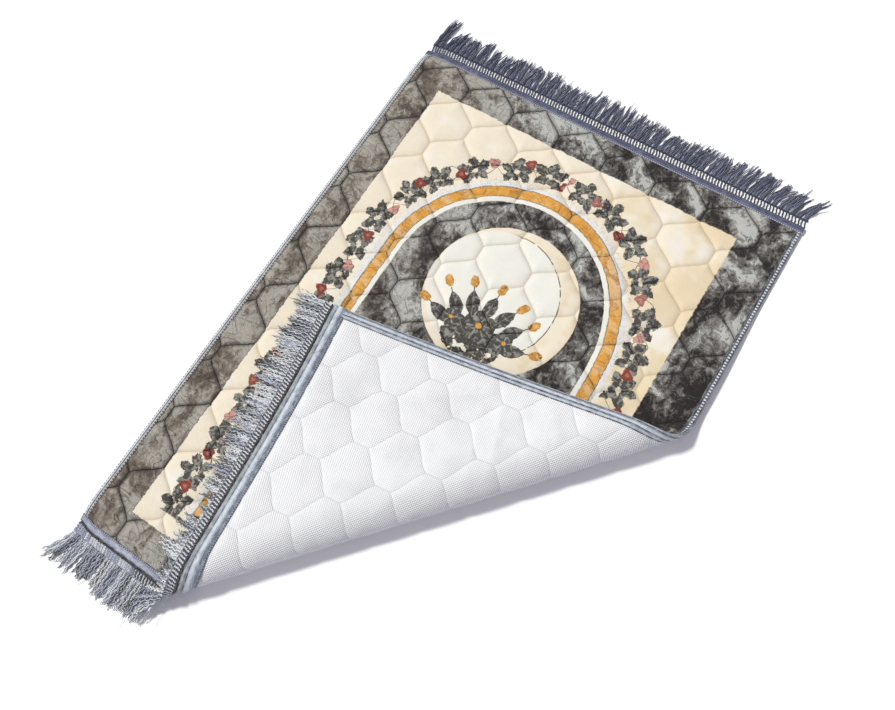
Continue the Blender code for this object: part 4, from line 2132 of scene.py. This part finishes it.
@dataclass(frozen=True)
class FringeTrim:
    """A woven trim beyond one end: two braided rails, bars between them, and cords."""

    name: str
    node: str
    edge: Edge
    finish: TwistedCord
    seed: int
    cords: int
    cord_radius: float
    cord_length: float
    taper: float
    crinkle: float
    waves: Pair
    gather: float
    ragged: float
    scatter: float
    sweep: tuple[Pair, ...]
    bunch: float
    tall_bunch: float
    contrast: float
    patchy: float
    inner_rail: Rail
    threads: tuple[tuple[float, float, float, float], ...]
    slant: float
    bar_start: float
    bar_wave: float
    rumple: float
    steps: int = 12
    sides: int = 5
    outer_rail: Rail = Rail(0.0156, 0.0010, 0.0010, 0.0058, 0.4)
    locks: int = 67
    header_inset: float = 0.0010
    header_width: float = 0.0180
    header_thick: float = 0.0020
    bar_end: float = 0.0146
    bar_turns: Pair = (1.5, 1.2)
    bar_rise: float = 0.0004
    bar_jitter: float = 0.0002
    slant_jitter: float = 0.0006
    rumple_end: float = 0.165
    rumple_fade: float = 0.05
    rumple_tone: Pair = (0.30, 0.95)
    first_bunch: float = 0.3
    bunch_steps: Pair = (0.65, 1.35)
    bunch_uneven: float = 0.08
    corner_cords: int = 2
    root_step: float = 0.0003
    root_inset: float = 0.0020
    most_drop: float = 0.9
    least_reach: float = 0.02
    spread: float = 0.0093
    fan: float = 0.002
    uneven: float = 0.08
    stray_uneven: float = 0.16
    stray_scatter: float = 0.0090
    stray_width: float = 0.42
    widths: Pair = (0.8, 1.1)
    wave_rise: float = 0.15
    lean_power: float = 1.5
    lift: float = 0.0016
    layers: int = 3
    layer: float = 0.0005
    tones: Pair = (0.92, 0.14)
    tone_uneven: float = 0.3
    patch: float = 0.0062
    patch_sway: Pair = (2.0, 0.021)
    # distance past the fold's start, height of the tip
    tip_rest: tuple[Pair, ...] = ((0.012, 0.0), (0.060, 0.020), (0.130, 0.036), (0.190, 0.0108))

    @property
    def span(self) -> float:
        """Length of the heading."""
        return SIZE.width - 2 * self.header_inset

    def lay(self, x: Array, outwards: Array, height: Array) -> Array:
        """Lays points of the trim over the fold.

        Args:
            x: Their cloth x.
            outwards: How far they lie beyond the end tape.
            height: Their heights above the floor.

        Returns:
            The points in the part's own coordinates.
        """
        flat = from_edge(self.edge, x, -(SIZE.gap + outwards))
        return FOLD.place(np.column_stack((flat, height)))

    def rail(self, rail: Rail) -> list[Run]:
        """Lays a rail along the heading, cut into lengths of the strand's steps.

        Args:
            rail: The rail.

        Returns:
            One run for each length of its two cords.
        """
        runs = []
        count = round(self.span / (self.steps * rail.pitch / rail.steps_each_twist))
        rolled = rail.rolled * rail.swing
        level = max(self.header_thick / 2, rail.radius + rolled)
        size, turns = rail.tone_swing
        for phase in (0.0, math.pi):
            for k in range(count):
                share = np.linspace(0, 1, self.steps + 1)
                x = self.header_inset + self.span * (k + share) / count
                turn = FULL_TURN * x / rail.pitch + phase
                outwards = rail.outwards + rail.swing * np.sin(turn)
                path = self.lay(x, outwards, level + rolled * np.cos(turn))
                runs.append(Run(path, rail.radius, rail.tone + size * math.sin(k * turns + phase)))
        return runs

    def bars(self, chance: np.random.Generator) -> list[Run]:
        """Lays slanted bars between the rails, side by side in light and dark threads.

        Args:
            chance: The trim's random numbers.

        Returns:
            One run for each thread.
        """
        runs = []
        count = 2 * self.locks
        share = np.linspace(0, 1, self.steps + 1)
        outwards = self.bar_start + (self.bar_end - self.bar_start) * share
        for k in range(count):
            middle = self.header_inset + self.span * (k + 0.5) / count
            slant = self.slant + self.slant_jitter * chance.standard_normal()
            rumpled = float(smooth_step(np.array((self.rumple_end - middle) / self.rumple_fade)))
            swing = self.bar_wave + self.rumple * rumpled
            turns = self.bar_turns[0] + self.bar_turns[1] * rumpled
            for beside, radius, low, high in self.threads:
                x = middle + beside + slant * (share - 0.5)
                x = x + self.bar_jitter * chance.standard_normal()
                x = x + swing * np.sin(FULL_TURN * (share * turns + chance.uniform()))
                level = max(self.header_thick / 2, radius)
                path = self.lay(x, outwards, level + self.bar_rise * np.sin(math.pi * share))
                tone = chance.uniform(low, high)
                tone += (chance.uniform(*self.rumple_tone) - tone) * rumpled
                runs.append(Run(path, radius, tone))
        return runs

    def bunches(self, chance: np.random.Generator) -> list[Pair]:
        """The middle of each bunch that the cords draw together in, and its length.

        Args:
            chance: The trim's random numbers.

        Returns:
            The bunches, from left to right.
        """
        places = [(self.first_bunch * self.bunch, self.tall_bunch)]
        while places[-1][0] < SIZE.width:
            step = self.bunch * chance.uniform(*self.bunch_steps)
            length = 1 + self.bunch_uneven * chance.standard_normal()
            places.append((places[-1][0] + step, length))
        return places

    def lock(self, x: float, bunches: Sequence[Pair], chance: np.random.Generator) -> list[Run]:
        """Lays the cords of one lock, from their roots down to what they lie on.

        Args:
            x: Cloth x of the lock's middle.
            bunches: The bunches that cords draw together in.
            chance: The trim's random numbers.

        Returns:
            One run for each cord.
        """
        outwards = np.array((self.header_width, self.header_width - self.root_step))
        root, before = self.lay(np.full(2, x), outwards, np.full(2, self.header_thick / 2))
        forward = (root - before) * (1.0, 1.0, 0.0)
        forward /= np.linalg.norm(forward)
        side = np.cross(forward, UP) * (1 if self.edge is Edge.FAR else -1)
        flat = from_edge(self.edge, np.array((x,)), -(SIZE.gap + outwards[:1]))
        rest = float(np.interp(FOLD.distance(flat)[0], *zip(*self.tip_rest)))
        bunch, longer = min(bunches, key=lambda place: abs(place[0] - x))
        lean = self.gather * (bunch - x) + float(np.interp(x, *zip(*self.sweep)))
        outer = min(abs(bunch - x) / (self.bunch / 2), 1.0)
        usual = self.cord_length * longer * (1 - self.ragged * outer**2)
        drop = min(max(root[2] - rest - self.header_thick / 2, 0.0), self.most_drop * usual)
        share = np.linspace(0, 1, self.steps + 1)
        count = self.cords + (self.corner_cords if x < self.bunch / 2 else 0)
        sway = self.patch_sway[0] * math.sin(x / self.patch_sway[1])
        base_tone = (1 - self.contrast) / 2 + self.patchy * math.sin(x / self.patch + sway)
        runs = []
        for k in range(count + 1):
            stray = k == count
            uneven = self.stray_uneven if stray else self.uneven
            scatter = self.stray_scatter if stray else self.scatter
            place = (k + 0.5) / (count + 1) - 0.5
            length = usual * (1 + uneven * chance.standard_normal())
            reach = math.sqrt(max(length**2 - drop**2 - lean**2, self.least_reach**2))
            tip = lean + scatter * chance.standard_normal() + place * self.fan
            turns = chance.uniform(*self.waves) * share + chance.uniform()
            wave = self.crinkle * np.sin(FULL_TURN * turns) * smooth_step(share / self.wave_rise)
            sideways = place * self.spread + tip * share**self.lean_power + wave
            ahead = reach * share - self.root_inset
            lift = chance.uniform(0.0, self.lift) * np.sin(math.pi * share)
            lift = lift + self.layer * (k % self.layers)
            radius = self.cord_radius * (self.stray_width if stray else chance.uniform(*self.widths))
            path = root + forward * ahead[:, None] + side * sideways[:, None]
            path[:, 2] = np.maximum(root[2] - drop * smooth_step(share) + lift, radius)
            tone = base_tone + self.contrast * self.tones[k % 2]
            tone += self.tone_uneven * (chance.uniform() - 0.5)
            runs.append(Run(path, radius, tone, self.taper))
        return runs

    def build(self) -> Piece:
        """Models the whole trim.

        Returns:
            The trim.
        """
        chance = np.random.default_rng(self.seed)
        runs = self.rail(self.inner_rail) + self.rail(self.outer_rail) + self.bars(chance)
        bunches = self.bunches(chance)
        for k in range(self.locks):
            middle = self.header_inset + self.span / self.locks * (k + 0.5)
            runs += self.lock(middle, bunches, chance)
        return bend_strands(self.name, Strand(self.sides, self.steps), runs)

    def dress(self, piece: Piece) -> None:
        """Gives the trim its finish and its place in the frame."""
        dress_piece(piece, self.finish, self.node)


@dataclass(frozen=True)
class Zigzag:
    """A zigzag seam of thread along a tape's inner edge on the face."""

    tape: EdgeTape
    finish: TwistedCord
    inset: float = 0.0012
    sunk: float = 0.0006
    pitch: float = 0.0036
    swing: float = 0.0013
    radius: float = 0.00035
    sides: int = 4
    steps: int = 12
    tone: Pair = (0.4, 0.3)

    def build(self) -> Piece:
        """Models the seam as lengths of bent thread.

        Returns:
            The seam.
        """
        tape, section = self.tape, self.tape.section
        span = tape.end - tape.start
        stitches = self.steps // 2
        count = round(span / (stitches * self.pitch))
        number = np.arange(self.steps + 1)
        inner = number % 2 == 0
        inwards = section.face - self.inset + self.swing * np.where(inner, 1.0, -1.0)
        height = section.top - np.where(inner, self.sunk, 0.0)
        runs = []
        for k in range(count):
            along = tape.start + span * (k + number / self.steps) / count
            flat = from_edge(tape.edge, along, inwards)
            tone = self.tone[0] + self.tone[1] * math.sin(k * stitches)
            runs.append(Run(FOLD.place(np.column_stack((flat, height))), self.radius, tone))
        return bend_strands(f"{tape.name}_seam", Strand(self.sides, self.steps), runs)

    def dress(self, piece: Piece) -> None:
        """Gives the seam its finish and its place in the frame."""
        dress_piece(piece, self.finish)


SewnPart = Union[Pad, EdgeTape, FringeTrim, Zigzag]


# The studio.


@dataclass(frozen=True)
class Studio:
    """Floor, soft light from the upper left, and the camera above the rug."""

    azimuth: float = 0.83405
    elevation: float = 1.25106
    roll: float = -0.27609
    focal_pixels: float = 774.08
    picture_width: int = 895
    target: Triple = (-0.01675, 0.02795, 0.0)
    distance: float = 1.35771
    sensor: float = 36.0
    floor_size: float = 12.0
    floor_thick: float = 0.02
    floor_drop: float = 0.0004
    key_strength: float = 3.17
    key_height: float = math.radians(53.8)
    key_soft: float = math.radians(9)
    key_side: float = 2.50
    sky: float = 0.45
    key_colour: Triple = (1.0, 1.014, 0.945)
    sky_colour: Triple = (0.93, 0.905, 1.03)

    def axes(self) -> tuple[Vector, Vector, Vector]:
        """The camera's right, up and forward directions."""
        sin_a, cos_a = math.sin(self.azimuth), math.cos(self.azimuth)
        sin_e, cos_e = math.sin(self.elevation), math.cos(self.elevation)
        forward = Vector((-sin_a * cos_e, cos_a * cos_e, -sin_e))
        level = Vector((cos_a, sin_a, 0))
        upright = level.cross(forward)
        right = level * math.cos(self.roll) + upright * math.sin(self.roll)
        up = upright * math.cos(self.roll) - level * math.sin(self.roll)
        return right, up, forward

    def build_camera(self) -> None:
        """Sets the camera at the photograph's place."""
        right, up, forward = self.axes()
        data = bpy.data.cameras.new("camera")
        data.sensor_width = self.sensor
        data.lens = self.focal_pixels * self.sensor / self.picture_width
        camera = link(bpy.data.objects.new("camera", data))
        place = Vector(self.target) - forward * self.distance
        turn = Matrix((right, up, -forward)).transposed()
        camera.matrix_world = Matrix.Translation(place) @ turn.to_4x4()
        bpy.context.scene.camera = camera

    def build_floor(self) -> None:
        """Models a wide slab with its top just under the rug."""
        bpy.ops.mesh.primitive_plane_add(size=self.floor_size, location=(0, 0, -self.floor_drop))
        floor = bpy.context.active_object
        floor.name = "floor"
        edit(floor)
        extrude_up(-self.floor_thick)
        face_outwards()
        leave_edit()
        apply_place(floor)
        floor.data.materials.append(PaleFloor().material())

    def build_light(self) -> None:
        """Sets a key light above the picture and a little left, and an even pale sky."""
        right, up, _ = self.axes()
        across = (up - right * self.key_side).xy.normalized()
        toward = Vector((*(across * math.cos(self.key_height)), math.sin(self.key_height)))
        key = bpy.data.lights.new("key", "SUN")
        key.energy = self.key_strength
        key.angle = self.key_soft
        key.color = self.key_colour
        lamp = link(bpy.data.objects.new("key", key))
        lamp.rotation_mode = "QUATERNION"
        lamp.rotation_quaternion = toward.to_track_quat("Z", "Y")
        world = bpy.data.worlds.new("studio")
        world.use_nodes = True
        background = world.node_tree.nodes["Background"]
        background.inputs["Color"].default_value = (*self.sky_colour, 1.0)
        background.inputs["Strength"].default_value = self.sky
        bpy.context.scene.world = world
        bpy.context.scene.view_settings.view_transform = "Standard"


# The rug's own tapes, trims and seams.


# The fringes share one slate cord: the near copy is lightened as painted light, the far copy darkened
# as painted shade.
SHADED_CORD = TwistedCord("shaded_cord", (50, 56, 84), (124, 132, 164), (16, 19, 34))
LIT_CORD = TwistedCord("lit_cord", (174, 183, 206), (252, 254, 255), (26, 31, 48), depth=0.10)
SEAM_THREAD = TwistedCord("seam_thread", (60, 64, 82), (120, 128, 150), (32, 35, 46), twist=0.0012)
FAR_TAPE = SatinTape(
    name="dark_satin_tape",
    stripes=(
        (0.0000, (60, 66, 88)), (0.0045, (96, 104, 134)), (0.0175, (50, 56, 78)),
        (0.0195, (78, 84, 110)), (0.0290, (48, 51, 74)), (0.0330, (66, 70, 98)),
        (0.0360, (88, 92, 122)), (0.0385, (58, 61, 86)), (0.0405, (80, 84, 112)),
        (0.0436, (150, 151, 172)),
    ),
    stitches=((0.0440, 0.0458, (186, 186, 204), (78, 80, 104)),),
    glint=(138, 142, 170),
    satin_shade=(34, 36, 54),
)
RIGHT_TAPE = SatinTape(
    name="side_satin_tape",
    stripes=(
        (0.0000, (58, 64, 78)), (0.0020, (194, 202, 212)), (0.0052, (118, 127, 143)),
        (0.0070, (48, 53, 66)), (0.0086, (216, 222, 231)), (0.0126, (146, 155, 168)),
        (0.0148, (56, 60, 74)), (0.0164, (178, 185, 193)), (0.0205, (126, 128, 144)),
        (0.0240, (44, 47, 60)), (0.0260, (150, 155, 166)), (0.0292, (96, 100, 112)),
        (0.0306, (24, 26, 34)),
    ),
    stitches=((0.0258, 0.0294, (240, 242, 246), (52, 56, 68)),),
    stitch=0.0058,
)
LEFT_TAPE = SatinTape(
    name="pale_side_satin_tape",
    stripes=(
        (0.0000, (72, 80, 96)), (0.0025, (150, 160, 176)), (0.0105, (70, 76, 92)),
        (0.0120, (120, 128, 136)), (0.0190, (176, 180, 188)), (0.0212, (214, 217, 222)),
        (0.0236, (76, 80, 90)), (0.0252, (214, 217, 221)), (0.0284, (92, 95, 102)),
        (0.0302, (198, 199, 201)), (0.0324, (76, 74, 74)),
    ),
    stitches=(
        (0.0234, 0.0258, (236, 238, 240), (70, 74, 82)),
        (0.0318, 0.0345, (60, 58, 56), (190, 188, 184)),
    ),
    stitch=0.0056,
    glint=(240, 242, 244),
    satin_shade=(128, 131, 137),
)


def tapes() -> list[EdgeTape]:
    """The four tapes, the end tapes across the whole width and the bindings between."""
    end_section = TapeSection(
        back=SIZE.end_back,
        face=SIZE.end_face,
        back_bands=((0.0005, 0.0085, 0.0005), (0.0095, 0.0240, 0.0018), (0.0245, 0.0275, 0.0004)),
        face_bands=((0.0025, 0.0110, 0.0011), (0.0112, 0.0138, 0.0004)),
    )
    side_section = TapeSection(
        back=SIZE.side_back,
        face=SIZE.side_face,
        back_bands=((0.0035, 0.0080, 0.0005), (0.0085, 0.0165, 0.0013), (0.0168, 0.0188, 0.0003)),
        face_bands=((0.0030, 0.0075, 0.0009), (0.0077, 0.0100, 0.0004)),
    )
    butt = SIZE.end_face + SIZE.gap
    end = end_section, 0.0, SIZE.width
    side = side_section, butt, SIZE.length - butt
    return [
        EdgeTape("near_end_tape", "end_tape_near", Edge.NEAR, *end, SatinTape()),
        EdgeTape("far_end_tape", "end_tape_far", Edge.FAR, *end, FAR_TAPE),
        EdgeTape("left_binding", "binding_left", Edge.LEFT, *side, LEFT_TAPE),
        EdgeTape("right_binding", "binding_right", Edge.RIGHT, *side, RIGHT_TAPE),
    ]


def trims() -> list[FringeTrim]:
    """The two fringed trims."""
    near = FringeTrim(
        "near_fringe", "fringe_near", Edge.NEAR, LIT_CORD, seed=11, cords=10,
        cord_radius=0.00118, cord_length=0.0560, taper=0.6, crinkle=0.0013, waves=(2.5, 5.5),
        gather=0.16, ragged=0.20, scatter=0.0030, sweep=((0.0, -0.018), (0.06, 0.0), (0.8, 0.0)),
        bunch=0.0340, tall_bunch=1.10, contrast=1.0, patchy=0.32,
        # The inner rail takes the darkest tone as painted shade of the gap between the tape and the
        # heading.
        inner_rail=Rail(0.0022, 0.00084, 0.0014, 0.0046, -0.5),
        threads=((-0.0015, 0.0016, -0.1, 0.06), (0.0015, 0.0013, 0.85, 1.0)), slant=0.0030,
        bar_start=0.0036, bar_wave=0.0005, rumple=0.0018, steps=14,
    )
    far = FringeTrim(
        "far_fringe", "fringe_far", Edge.FAR, SHADED_CORD, seed=23, cords=6,
        cord_radius=0.00134, cord_length=0.0480, taper=0.45, crinkle=0.0011, waves=(0.8, 2.4),
        gather=0.34, ragged=0.05, scatter=0.0046,
        sweep=((0.0, 0.018), (0.03, 0.014), (0.08, 0.002), (0.45, 0.006), (0.70, 0.014), (0.80, 0.024)),
        bunch=0.0290, tall_bunch=1.42, contrast=0.75, patchy=0.0,
        inner_rail=Rail(0.0010, 0.00054, 0.0009, 0.0046, -0.5),
        threads=((0.0, 0.00118, 0.0, 0.6),), slant=-0.0030,
        bar_start=0.0014, bar_wave=0.0004, rumple=0.0,
    )
    return [near, far]


def finish(part: SewnPart) -> Piece:
    """Builds and dresses one sewn part, and logs it.

    Args:
        part: The part.

    Returns:
        Its piece.
    """
    piece = part.build()
    part.dress(piece)
    report_piece(piece)
    return piece


def report_piece(piece: Piece) -> None:
    """Logs a finished piece with its number of triangles."""
    count = sum(len(face.vertices) - 2 for face in piece.data.polygons)
    LOG.info("%s: %d triangles", piece.name, count)


def main() -> None:
    """Builds the studio and every piece of the rug in order."""
    logging.basicConfig(level=logging.INFO, format="%(name)s: %(message)s")
    studio = Studio()
    studio.build_camera()
    studio.build_floor()
    studio.build_light()
    finish(Pad())
    backing = Backing()
    backing_piece = backing.build()
    on_it = []
    for tape in tapes():
        on_it.append(finish(tape))
        finish(Zigzag(tape, SEAM_THREAD))
    on_it += [finish(trim) for trim in trims()]
    backing.dress(backing_piece, on_it)
    report_piece(backing_piece)


if __name__ == "__main__":
    main()
